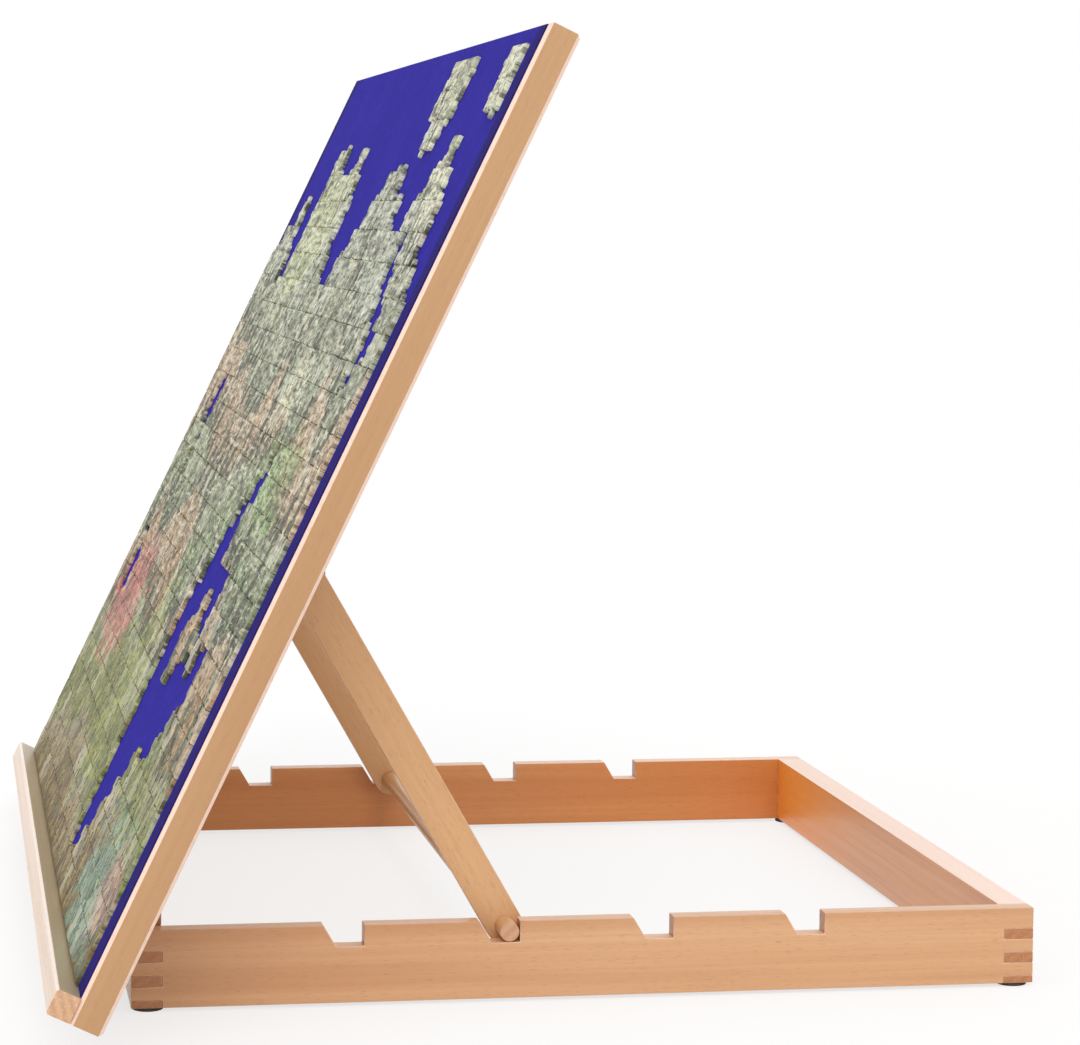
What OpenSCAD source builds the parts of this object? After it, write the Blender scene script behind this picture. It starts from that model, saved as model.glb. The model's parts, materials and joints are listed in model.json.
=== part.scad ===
// Tilting jigsaw puzzle board. A felt-covered board is hinged along the left end of an open
// frame, and a prop of two arms and a dowel holds it up in one of four pairs of notches.
// Millimetres. X runs from the hinge to the free end, Y across the board, Z up.

/* [Board] */
// Width of the board, across the hinge line
board_w = 720; // [640:10:780]
// Length of the board from the hinge axis up to its top end
board_up = 484; // [470:1:500]
// Length of the board from the hinge axis down to its bottom end
board_down = 39; // [36:0.5:42]
// Thickness of the wooden frame of the board
board_t = 16.7; // [15:0.1:19]
// Width of the strips round the edge of the board
strip_w = 12; // [10:0.5:14]
// Chamfer along the outer edges of the board
edge_chamfer = 1.8; // [1:0.1:2.4]
// Thickness of the plywood panel
panel_t = 4; // [3:0.5:6]
// Distance from the outer edge of the board to the edge of the panel
panel_inset = 7; // [5:0.5:9]
// Thickness of the felt
felt_t = 0.8; // [0.6:0.1:1.5]
// How far the hinge batten reaches up from the hinge axis
hinge_batten_up = 25; // [22:1:40]
// Width of the batten that carries the prop
pivot_batten_w = 50; // [40:1:60]

/* [Ledge] */
// Width of the ledge along the board
ledge_w = 13; // [10:0.5:16]
// Height of the ledge above the wood that it is glued to
ledge_h = 12.5; // [9:0.5:16]
// Chamfer along the two outer edges of the ledge
ledge_chamfer = 1.2; // [0.6:0.1:2]

/* [Base] */
// Length of the base frame, from the hinge end to the free end
base_l = 475; // [465:1:485]
// Width of the base frame
base_w = 484; // [440:2:540]
// Height of the rails
rail_h = 40; // [34:1:46]
// Thickness of the two notched side rails
side_rail_t = 11; // [9:0.5:14]
// Thickness of the two cross rails
cross_rail_t = 16; // [14:0.5:20]
// Distance from one finger of a corner joint to the next
finger_pitch = 12.6; // [11:0.2:14]
// Height of a finger of a cross rail
finger_h = 5.6; // [4:0.2:7]
// How much of the lowest finger is lost at the bottom of the rail
finger_cut = 1.7; // [0.5:0.1:3]
// Height of the packer that lifts the hinges off the hinge rail
packer_h = 7.7; // [6:0.1:10]
// Diameter of a foot pad
foot_d = 16; // [12:0.5:18]
// Thickness of a foot pad
foot_t = 2; // [1.5:0.1:3]
// Distance from the outer faces of the base to the axis of a foot pad
foot_inset = 9; // [9:0.5:12]

/* [Notches] */
// Number of notches in each side rail
notch_count = 4; // [4:1:4]
// Distance from the hinge end of the base to the upright wall of the first notch
notch_first = 118.9; // [112:0.1:124]
// Distance from one notch to the next
notch_pitch = 80.8; // [76:0.1:84]
// Depth of a notch
notch_depth = 11; // [9:0.1:14]
// Width of a notch at the top of the rail
notch_top = 21; // [18:0.5:24]
// Width of a notch at its floor
notch_floor = 14.5; // [12:0.5:17]
// The notch that holds the prop, counted from the hinge
rest_notch = 2; // [1:1:4]

/* [Prop] */
// Distance of the prop's pivot from the hinge axis, along the board
pivot_up = 190; // [184:0.5:196]
// Distance of the prop's pivot behind the hinge axis
pivot_back = 10; // [9:0.5:12]
// Distance from the pivot to the dowel
arm_l = 211; // [206:0.5:216]
// Width of an arm
arm_w = 19.5; // [17:0.5:21]
// Thickness of an arm
arm_t = 10; // [8:0.5:13]
// Gap between a side rail and the arm beside it
arm_gap = 6; // [5:0.5:9]
// Diameter of the dowel
dowel_d = 10; // [8:0.5:11]
// Clearance between the dowel and the notch that it rests in
seat_gap = 0.3; // [0.2:0.05:0.4]

/* [Pivot] */
// Diameter of a pivot bolt
bolt_d = 6; // [5:0.5:8]
// Diameter of a bolt's head
bolt_head_d = 13; // [11:0.5:16]
// Height of a bolt's head
bolt_head_h = 2.6; // [2:0.1:3.4]
// Distance across the flats of a nut
nut_flats = 10; // [9:0.5:13]
// Height of a nut
nut_h = 5; // [4:0.2:6]
// Thickness of a pivot block
block_t = 20; // [16:0.5:26]
// Radius of a pivot block round its bolt
block_r = 12; // [10:0.5:14]
// How much wider than its round end a block is at the batten, on each side
block_flare = 4; // [1:0.5:8]
// Gap between an arm and the block or bolt head beside it
side_gap = 0.4; // [0.3:0.05:0.8]
// Radial clearance of a bolt, pin or screw in its hole
fit_gap = 0.05; // [0.03:0.01:0.09]

/* [Hinges] */
// Length of a hinge
hinge_len = 50; // [40:1:70]
// Distance from the side of the base to the middle of a hinge
hinge_inset = 70; // [50:1:100]
// Distance from the hinge axis to the end face of the base
hinge_out = 1.8; // [1.4:0.1:2.6]
// Distance from the hinge axis to each face that a leaf lies on
hinge_lift = 2.1; // [2.1:0.05:2.6]
// Thickness of a leaf
leaf_t = 0.9; // [0.7:0.1:1.2]
// Width of a leaf, measured from the hinge axis
leaf_w = 15; // [13:0.5:16]
// Number of knuckles on a hinge
knuckle_count = 5; // [3:2:7]
// Diameter of a knuckle
knuckle_d = 3.5; // [3:0.1:3.6]
// Gap between one knuckle and the next
knuckle_gap = 0.4; // [0.3:0.1:0.8]
// Diameter of a hinge pin
pin_d = 1.8; // [1.2:0.1:2.2]
// Diameter of a screw's shank
screw_d = 2.4; // [2:0.1:3]
// Diameter of a screw's head
screw_head_d = 4.6; // [4:0.1:5.6]
// Length of a screw
screw_l = 11; // [8:0.5:12]
// Number of screws in a leaf
screw_count = 3; // [2:1:3]
// Distance from one screw to the next
screw_pitch = 17; // [12:0.5:18]

/* [Puzzle] */
// Width of one piece of the puzzle
piece = 18; // [16:0.5:18]
// Thickness of the puzzle
piece_t = 2; // [1.5:0.1:3]
// Distance from the near side of the board to the puzzle
puzzle_side = 22; // [15:1:30]
// Distance from the ledge to the puzzle
puzzle_foot = 1; // [0.5:0.5:12]
// Least distance from the puzzle to the far side of the board
puzzle_far = 8; // [6:1:10]
// Least distance from the puzzle to the top end of the board
puzzle_head = 8; // [6:1:12]
// Number of rows above the part that is laid all the way across
open_rows = 7; // [6:1:9]
// Clearance of the loose puzzle above the felt
lay_gap = 0.1; // [0.05:0.01:0.2]
// Reach of a knob, as a share of a piece
knob_reach = 0.24; // [0.18:0.01:0.26]
// Half the width of a knob, as a share of a piece
knob_half = 0.14; // [0.1:0.01:0.17]
// Half the width of a knob's neck, as a share of a piece
neck_half = 0.09; // [0.06:0.01:0.1]

/* [Hidden] */
$fn = 48;

// Levels of the base
rail_z = foot_t;
rail_top = rail_z + rail_h;
packer_top = rail_top + packer_h;

// The dowel's axis, measured from the hinge end of the base and from the floor
dowel_r = dowel_d / 2;
dowel_x = notch_first + (rest_notch - 1) * notch_pitch - dowel_r - seat_gap;
dowel_z = rail_top - notch_depth + dowel_r + seat_gap;

// The hinge axis, measured in the same way
hinge_x = -hinge_out;
hinge_z = packer_top + hinge_lift;

// The tilt of the board: hinge, pivot and dowel are the corners of a triangle
reach_x = dowel_x - hinge_x;
reach_z = dowel_z - hinge_z;
reach = sqrt(reach_x * reach_x + reach_z * reach_z);
pivot_r = sqrt(pivot_up * pivot_up + pivot_back * pivot_back);
hinge_corner = acos((pivot_r * pivot_r + reach * reach - arm_l * arm_l) / (2 * pivot_r * reach));
tilt = atan2(reach_z, reach_x) + hinge_corner + atan2(pivot_back, pivot_up);

// The pivot, and the slope of the arms below the level
pivot_x = hinge_x + pivot_up * cos(tilt) + pivot_back * sin(tilt);
pivot_z = hinge_z + pivot_up * sin(tilt) - pivot_back * cos(tilt);
arm_slope = atan2(pivot_z - dowel_z, dowel_x - pivot_x);

// Levels of the board, measured at right angles to it from the hinge axis
back = hinge_lift;
front = back + board_t;
panel_back = front - panel_t;
felt_top = front + felt_t;
puzzle_back = felt_top + lay_gap;
ledge_top = front + ledge_h;
ledge_end = ledge_w - board_down;

// Places across the board, with y = 0 on its centre line
board_y = board_w / 2;
base_y = base_w / 2;
arm_y = base_y - side_rail_t - arm_gap;
block_y = arm_y - arm_t - side_gap;
hinge_y = base_y - hinge_inset;

// The origin is under the middle of the whole part
ledge_x = hinge_x - board_down * cos(tilt) - ledge_top * sin(tilt);
middle_x = (ledge_x + base_l) / 2;

// The puzzle's corner on the board, and how many pieces the whole puzzle has each way
puzzle_u = ledge_end + puzzle_foot;
piece_cols = floor((board_w - puzzle_side - puzzle_far) / piece);
piece_rows = floor((board_up - puzzle_u - puzzle_head) / piece);

// The regions of the puzzle that are laid, counted in pieces
laid_rows = piece_rows - open_rows;
// How far each column of the field reaches above laid_rows
skyline = [
    0, 1, 3, 4, 5, 4, 3, 2, 2, 2, 3, 3, 4, 4, 4, 3, 2, 1, 0,
    0, 0, 1, 3, 4, 5, 4, 4, 4, 4, 5, 5, 0, -2, 1, 3, 2, 2, 1
];
// A patch is [first column, lowest row of each column, row above the highest of each column]
gap_patches = [
    [5, [7, 6, 5, 5, 5, 4, 3, 2, 1, 1], [9, 9, 8, 11, 11, 11, 14, 13, 12, 10]],
    [10, [13, 13], [15, 14]],
    [2, [laid_rows - 2, laid_rows - 3, laid_rows - 1, laid_rows],
        [laid_rows - 1, laid_rows, laid_rows + 1, laid_rows + 2]],
    [piece_cols - 5, [12, 14], [16, 16]],
    [piece_cols - 4, [7, 7], [9, 10]]
];
near_patch = [0, [piece_rows - 2, piece_rows - 2], [piece_rows, piece_rows]];
middle_patch = [9, [8, 8, 7], [9, 10, 9]];
far_patch = [8, [piece_rows - 2, piece_rows - 3, piece_rows - 3, piece_rows - 2],
    [piece_rows, piece_rows, piece_rows, piece_rows]];
// The top islands lie loose, in the middle of the space left above the last row
island_rise = (board_up - puzzle_u - piece_rows * piece) / 2;

// How far a cut reaches past the face that it opens
past = 1;

module to_middle() translate([-middle_x, 0, 0]) children();

// From the board's own frame, with X up the board and Z out of its front, to its place
module on_board() to_middle() translate([hinge_x, 0, hinge_z]) rotate([0, -tilt, 0]) children();

// From an arm's own frame, with X from the pivot to the dowel, to its place
module on_prop() to_middle() translate([pivot_x, 0, pivot_z]) rotate([0, arm_slope, 0]) children();

// An outline drawn in X and Z, drawn out across the board from y0 to y1
module across(y0, y1) translate([0, y1, 0]) rotate([90, 0, 0]) linear_extrude(y1 - y0) children();

module rod(r, y0, y1) translate([0, y1, 0]) rotate([90, 0, 0]) cylinder(h = y1 - y0, r = r);

module box(low, high) translate(low) cube(high - low);

module mirrored() mirror([0, 1, 0]) children();

// The fingers of one cross rail, from the level of the rail's bottom, as blocks of a given run
module fingers(x0, x1, y0, y1) {
    for (i = [0 : floor((rail_h + finger_cut - finger_h) / finger_pitch)]) {
        low = max(0, i * finger_pitch - finger_cut);
        high = i * finger_pitch - finger_cut + finger_h;
        box([x0, y0, rail_z + low], [x1, y1, rail_z + high]);
    }
}

module notch() {
    polygon([
        [0, -notch_depth],
        [0, past],
        [-notch_top - past * (notch_top - notch_floor) / notch_depth, past],
        [-notch_floor, -notch_depth]
    ]);
}

module side_rail() {
    color([0.82, 0.66, 0.53])
    to_middle()
    difference() {
        across(-base_y, -base_y + side_rail_t) {
            difference() {
                translate([0, rail_z]) square([base_l, rail_h]);
                for (i = [0 : notch_count - 1])
                    translate([notch_first + i * notch_pitch, rail_top]) notch();
            }
        }
        for (x = [[-past, cross_rail_t], [base_l - cross_rail_t, base_l + past]])
            fingers(x[0], x[1], -base_y - past, -base_y + side_rail_t + past);
    }
}

module cross_rail(x0) {
    color([0.76, 0.55, 0.38])
    to_middle()
    difference() {
        union() {
            box([x0, -base_y + side_rail_t, rail_z],
                [x0 + cross_rail_t, base_y - side_rail_t, rail_top]);
            fingers(x0, x0 + cross_rail_t, -base_y, -base_y + side_rail_t);
            fingers(x0, x0 + cross_rail_t, base_y - side_rail_t, base_y);
        }
        for (side = [-1, 1]) translate([hinge_x, 0, hinge_z]) base_screw_holes(side);
    }
}

module packer() {
    color([0.8, 0.62, 0.45])
    to_middle()
    difference() {
        box([0, -base_y + side_rail_t, rail_top], [cross_rail_t, base_y - side_rail_t, packer_top]);
        for (side = [-1, 1]) translate([hinge_x, 0, hinge_z]) base_screw_holes(side);
    }
}

module foot(x, side) {
    color([0.25, 0.2, 0.17])
    to_middle()
    translate([x, side * (base_y - foot_inset), 0])
    cylinder(h = foot_t, d = foot_d);
}

// A hinge leaf that lies on the face z = -hinge_lift and reaches towards +X from the axis.
// Knuckles of the given parity are its own, counted along the hinge from its near end.
module leaf(parity) {
    step = hinge_len / knuckle_count;
    tab_x = knuckle_d / 2 + knuckle_gap;
    difference() {
        union() {
            box([tab_x, -hinge_len / 2, -hinge_lift], [leaf_w, hinge_len / 2, leaf_t - hinge_lift]);
            for (i = [parity : 2 : knuckle_count - 1]) {
                y0 = i * step - hinge_len / 2 + (i > 0 ? knuckle_gap / 2 : 0);
                y1 = (i + 1) * step - hinge_len / 2 - (i < knuckle_count - 1 ? knuckle_gap / 2 : 0);
                rod(knuckle_d / 2, y0, y1);
                box([0, y0, -hinge_lift], [tab_x, y1, leaf_t - hinge_lift]);
            }
        }
        rod(pin_d / 2 + fit_gap, -hinge_len, hinge_len);
        leaf_screw_places() screw(fit_gap);
    }
}

// The tips of the screws point to -Z, with their heads flush with the leaf
module leaf_screw_places() {
    for (i = [0 : screw_count - 1])
        translate([leaf_w * 0.6, (i - (screw_count - 1) / 2) * screw_pitch, leaf_t - hinge_lift])
            children();
}

module screw(grow) {
    head_h = leaf_t;
    translate([0, 0, -head_h])
        cylinder(h = head_h, r1 = screw_d / 2 + grow, r2 = screw_head_d / 2 + grow);
    translate([0, 0, -screw_l]) cylinder(h = screw_l - head_h / 2, r = screw_d / 2 + grow);
}

module base_screw_holes(side) {
    translate([0, side * hinge_y, 0]) leaf_screw_places() {
        translate([0, 0, -screw_l - fit_gap]) cylinder(h = screw_l, r = screw_d / 2 + fit_gap);
    }
}

// The same leaf turned over, for the back of the board
module turned() mirror([0, 0, 1]) children();

module board_screw_holes(side) turned() base_screw_holes(side);

module base_leaf(side) {
    color([0.80, 0.68, 0.38])
    to_middle() translate([hinge_x, side * hinge_y, hinge_z]) leaf(0);
}

module board_leaf(side) {
    color([0.80, 0.68, 0.38])
    on_board() translate([0, side * hinge_y, 0]) turned() leaf(1);
}

module hinge_pin(side) {
    color([0.72, 0.62, 0.36])
    to_middle() translate([hinge_x, side * hinge_y, hinge_z]) rod(pin_d / 2, -hinge_len / 2, hinge_len / 2);
}

module base_leaf_screws() {
    color([0.80, 0.72, 0.5])
    to_middle()
    for (side = [-1, 1])
        translate([hinge_x, side * hinge_y, hinge_z]) leaf_screw_places() screw(0);
}

module board_leaf_screws() {
    color([0.80, 0.72, 0.5])
    on_board()
    for (side = [-1, 1])
        translate([0, side * hinge_y, 0]) turned() leaf_screw_places() screw(0);
}

// The board's outline seen from its side, with every outer edge chamfered
module board_side() {
    c = edge_chamfer;
    polygon([
        [-board_down + c, back], [board_up - c, back], [board_up, back + c],
        [board_up, front - c], [board_up - c, front], [-board_down, front],
        [-board_down, back + c]
    ]);
}

module panel_space() {
    box([-board_down + panel_inset, -board_y + panel_inset, panel_back],
        [board_up - panel_inset, board_y - panel_inset, front + past]);
}

module board_panel() {
    color([0.85, 0.74, 0.56])
    on_board()
    box([-board_down + panel_inset, -board_y + panel_inset, panel_back],
        [board_up - panel_inset, board_y - panel_inset, front]);
}

module felt_surface() {
    color([0.23, 0.17, 0.66])
    on_board()
    box([ledge_end, -board_y + edge_chamfer, front],
        [board_up - edge_chamfer, board_y - edge_chamfer, felt_top]);
}

module edge_strip() {
    c = edge_chamfer;
    y0 = -board_y;
    y1 = -board_y + strip_w;
    color([0.84, 0.64, 0.44])
    on_board()
    difference() {
        intersection() {
            across(y0, y1) board_side();
            translate([-board_down - past, 0, 0])
                rotate([90, 0, 90])
                linear_extrude(board_down + board_up + 2 * past)
                polygon([
                    [y0 + c, back], [y1, back], [y1, front], [y0 + c, front],
                    [y0, front - c], [y0, back + c]
                ]);
        }
        panel_space();
    }
}

module top_edge_strip() {
    color([0.84, 0.64, 0.44])
    on_board()
    difference() {
        across(-board_y + strip_w, board_y - strip_w) {
            intersection() {
                board_side();
                translate([board_up - strip_w, back]) square([strip_w, board_t]);
            }
        }
        panel_space();
    }
}

module hinge_batten() {
    color([0.8, 0.6, 0.42])
    on_board()
    difference() {
        across(-board_y + strip_w, board_y - strip_w) {
            intersection() {
                board_side();
                translate([-board_down, back]) square([board_down + hinge_batten_up, board_t]);
            }
        }
        panel_space();
        for (side = [-1, 1]) board_screw_holes(side);
    }
}

module pivot_batten() {
    color([0.8, 0.6, 0.42])
    on_board()
    box([pivot_up - pivot_batten_w / 2, -board_y + strip_w, back],
        [pivot_up + pivot_batten_w / 2, board_y - strip_w, panel_back]);
}

module ledge() {
    c = ledge_chamfer;
    color([0.9, 0.8, 0.72])
    on_board()
    across(-board_y, board_y)
    polygon([
        [-board_down, front], [ledge_end, front], [ledge_end, ledge_top - c],
        [ledge_end - c, ledge_top], [-board_down + c, ledge_top], [-board_down, ledge_top - c]
    ]);
}

module pivot_block() {
    half = block_r + block_flare;
    color([0.78, 0.58, 0.4])
    on_board()
    difference() {
        translate([pivot_up, 0, -pivot_back])
            across(-block_y, -block_y + block_t) {
                circle(block_r);
                polygon([
                    [-block_r, 0], [block_r, 0],
                    [half, pivot_back + back], [-half, pivot_back + back]
                ]);
            }
        translate([pivot_up, 0, -pivot_back]) rod(bolt_d / 2 + fit_gap, -base_y, 0);
    }
}

module pivot_bolt() {
    head_y = -arm_y - side_gap;
    nut_y = -block_y + block_t;
    dome_r = (bolt_head_d * bolt_head_d / 4 + bolt_head_h * bolt_head_h) / (2 * bolt_head_h);
    color([0.72, 0.72, 0.74])
    on_board()
    translate([pivot_up, 0, -pivot_back]) {
        rod(bolt_d / 2, head_y, nut_y + nut_h + bolt_d / 4);
        translate([0, head_y, 0]) rotate([90, 0, 0]) {
            intersection() {
                cylinder(h = bolt_head_h, d = bolt_head_d);
                translate([0, 0, bolt_head_h - dome_r]) sphere(dome_r);
            }
        }
    }
}

module pivot_nuts() {
    nut_y = -block_y + block_t;
    color([0.7, 0.7, 0.72])
    on_board()
    translate([pivot_up, 0, -pivot_back])
    for (side = [0, 1]) mirror([0, side, 0]) difference() {
        across(nut_y, nut_y + nut_h) circle(d = nut_flats / cos(30), $fn = 6);
        rod(bolt_d / 2 + fit_gap, nut_y - past, nut_y + nut_h + past);
    }
}

module arm() {
    color([0.86, 0.68, 0.49])
    on_prop()
    difference() {
        across(-arm_y, -arm_y + arm_t) {
            circle(d = arm_w);
            translate([0, -arm_w / 2]) square([arm_l, arm_w]);
            translate([arm_l, 0]) circle(d = arm_w);
        }
        rod(bolt_d / 2 + fit_gap, -base_y, 0);
        translate([arm_l, 0, 0]) rod(dowel_r + fit_gap, -base_y, 0);
    }
}

module prop_dowel() {
    color([0.88, 0.72, 0.55])
    on_prop() translate([arm_l, 0, 0]) rod(dowel_r, -base_y, base_y);
}

// The puzzle is a grid of pieces. An edge between two pieces has a knob that points one way
// or the other, and an edge on the border of the puzzle is straight.
function knob() = [
    [0.5 - neck_half, 0.02], [0.5 - knob_half, 0.6 * knob_reach], [0.5 - 0.55 * knob_half, knob_reach],
    [0.5 + 0.55 * knob_half, knob_reach], [0.5 + knob_half, 0.6 * knob_reach], [0.5 + neck_half, 0.02]
];
function knob_way(i, j, turn) = (5 * i + 3 * j + i * j + turn) % 4 < 2 ? 1 : -1;
function reversed(list) = [for (i = [len(list) - 1 : -1 : 0]) list[i]];

// The points of the edge from (i, j) to (i + 1, j), and from (i, j) to (i, j + 1)
function level_edge(i, j) = j == 0 || j == piece_rows ? []
    : [for (k = knob()) [i + k[0], j + knob_way(i, j, 0) * k[1]]];
function upright_edge(i, j) = i == 0 || i == piece_cols ? []
    : [for (k = knob()) [i + knob_way(i, j, 1) * k[1], j + k[0]]];

// Walks along the edges from one grid point to another, leaving out the last point
function walk_level(i0, i1, j) = i1 > i0
    ? [for (i = [i0 : 1 : i1 - 1]) each concat([[i, j]], level_edge(i, j))]
    : [for (i = [i0 - 1 : -1 : i1]) each concat([[i + 1, j]], reversed(level_edge(i, j)))];
function walk_upright(i, j0, j1) = j1 > j0
    ? [for (j = [j0 : 1 : j1 - 1]) each concat([[i, j]], upright_edge(i, j))]
    : [for (j = [j0 - 1 : -1 : j1]) each concat([[i, j + 1]], reversed(upright_edge(i, j)))];

// The outline of a run of columns from c0, with the lowest and highest row edge of each
function outline(c0, low, high) = let (last = len(low) - 1) concat(
    [for (k = [0 : last]) each concat(
        walk_level(c0 + k, c0 + k + 1, low[k]),
        k < last ? walk_upright(c0 + k + 1, low[k], low[k + 1]) : [])],
    walk_upright(c0 + last + 1, low[last], high[last]),
    [for (k = [last : -1 : 0]) each concat(
        walk_level(c0 + k + 1, c0 + k, high[k]),
        k > 0 ? walk_upright(c0 + k, high[k], high[k - 1]) : [])],
    walk_upright(c0, high[0], low[0])
);

function laid_to(c) = laid_rows + skyline[c % len(skyline)];

module patch(p) {
    polygon(outline(p[0], p[1], p[2]) * piece);
}

module on_felt(rise = 0) {
    color([0.66, 0.65, 0.53])
    on_board()
    translate([puzzle_u + rise, -board_y + puzzle_side, puzzle_back])
    mirror([1, -1, 0])
    linear_extrude(piece_t)
    children();
}

module puzzle_field() {
    columns = [0 : piece_cols - 1];
    on_felt() difference() {
        polygon(outline(0, [for (c = columns) 0], [for (c = columns) laid_to(c)]) * piece);
        for (p = gap_patches) patch(p);
    }
}

side_rail();  // base_near_rail
mirrored() side_rail();  // base_far_rail
cross_rail(0);  // base_hinge_rail
cross_rail(base_l - cross_rail_t);  // base_end_rail
packer();  // hinge_packer
foot(foot_inset, -1);  // near_hinge_foot
foot(foot_inset, 1);  // far_hinge_foot
foot(base_l - foot_inset, -1);  // near_end_foot
foot(base_l - foot_inset, 1);  // far_end_foot
base_leaf(-1);  // near_base_leaf
base_leaf(1);  // far_base_leaf
hinge_pin(-1);  // near_hinge_pin
hinge_pin(1);  // far_hinge_pin
base_leaf_screws();
board_panel();
felt_surface();
edge_strip();  // near_edge_strip
mirrored() edge_strip();  // far_edge_strip
top_edge_strip();
hinge_batten();
pivot_batten();
ledge();
board_leaf(-1);  // near_board_leaf
board_leaf(1);  // far_board_leaf
board_leaf_screws();
pivot_block();  // near_pivot_block
mirrored() pivot_block();  // far_pivot_block
pivot_bolt();  // near_pivot_bolt
mirrored() pivot_bolt();  // far_pivot_bolt
pivot_nuts();
puzzle_field();
on_felt(island_rise) patch(near_patch);  // puzzle_island_near
on_felt() patch(middle_patch);  // puzzle_island_middle
on_felt(island_rise) patch(far_patch);  // puzzle_island_far
arm();  // near_arm
mirrored() arm();  // far_arm
prop_dowel();
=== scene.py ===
"""Looks of a tilting jigsaw puzzle board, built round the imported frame.

A felt-covered board is hinged to an open beech base and held up by a prop in notched rails. Lengths
are metres in the frame's own axes: X from the hinge to the free end, Y across the board, Z up.
"""

import json
import logging
import math
import random
from collections.abc import Callable, Mapping
from dataclasses import dataclass, field, replace
from enum import Enum, auto

import bmesh
import bpy
from mathutils import Matrix, Vector

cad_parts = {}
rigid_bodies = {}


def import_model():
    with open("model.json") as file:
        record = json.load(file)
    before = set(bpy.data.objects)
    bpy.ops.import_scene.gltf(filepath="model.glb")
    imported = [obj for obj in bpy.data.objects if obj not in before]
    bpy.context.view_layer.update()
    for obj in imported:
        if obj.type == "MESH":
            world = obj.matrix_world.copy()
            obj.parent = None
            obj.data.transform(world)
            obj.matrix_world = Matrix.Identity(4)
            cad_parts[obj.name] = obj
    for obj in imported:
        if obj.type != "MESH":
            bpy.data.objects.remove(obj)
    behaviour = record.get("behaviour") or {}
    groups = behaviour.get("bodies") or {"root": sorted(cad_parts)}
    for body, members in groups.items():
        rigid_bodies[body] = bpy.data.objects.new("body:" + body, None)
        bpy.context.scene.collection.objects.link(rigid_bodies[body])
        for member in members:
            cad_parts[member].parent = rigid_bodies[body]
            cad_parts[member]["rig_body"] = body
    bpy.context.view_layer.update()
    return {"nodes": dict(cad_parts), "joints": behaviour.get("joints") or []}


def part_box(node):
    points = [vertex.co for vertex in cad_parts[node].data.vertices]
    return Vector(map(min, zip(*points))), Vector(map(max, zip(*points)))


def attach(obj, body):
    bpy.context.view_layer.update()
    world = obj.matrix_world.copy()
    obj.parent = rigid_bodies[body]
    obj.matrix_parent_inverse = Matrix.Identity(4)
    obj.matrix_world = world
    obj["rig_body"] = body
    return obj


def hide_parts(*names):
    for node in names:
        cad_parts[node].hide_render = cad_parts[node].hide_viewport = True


Colour = tuple[float, float, float, float]
Triple = tuple[float, float, float]
Point = tuple[float, float]
Socket = bpy.types.NodeSocket
Outputs = bpy.types.NodeOutputs
Value = Socket | float | tuple

LOG = logging.getLogger("puzzle_board")
UPWARDS: Triple = (0.0, 0.0, 1.0)
SIDEWAYS: Triple = (0.0, 1.0, 0.0)
WHITE: Colour = (1.0, 1.0, 1.0, 1.0)
WOOD_IOR = 1.45
MM = 0.001
# Points nearer to each other than this are one corner.
WELD = 0.001 * MM
# Edges shorter than this aren't eased, on most pieces and on small round ones.
SHORT_EDGE = 2 * MM
SHORT_ROUND_EDGE = 0.2 * MM
# Neighbouring faces that turn less than this are made one.
FLAT_ANGLE = math.radians(0.4)
# Edges that turn more than this are eased.
CORNER_ANGLE = math.radians(28)
# Edges that turn more than this, in degrees, are shaded crisp on most pieces.
CRISP = 34.0
# How far the prop's pivot lies up the board from the hinge axis, and behind it.
PIVOT_UP = 190 * MM
PIVOT_BACK = 10 * MM


def srgb(red: int, green: int, blue: int) -> Colour:
    """Turns a colour written as on a screen, 0 to 255, into the linear one that shaders take."""
    linear = [c / 12.92 if c <= 0.04045 else ((c + 0.055) / 1.055) ** 2.4
              for c in (red / 255, green / 255, blue / 255)]
    return (*linear, 1.0)


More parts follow.
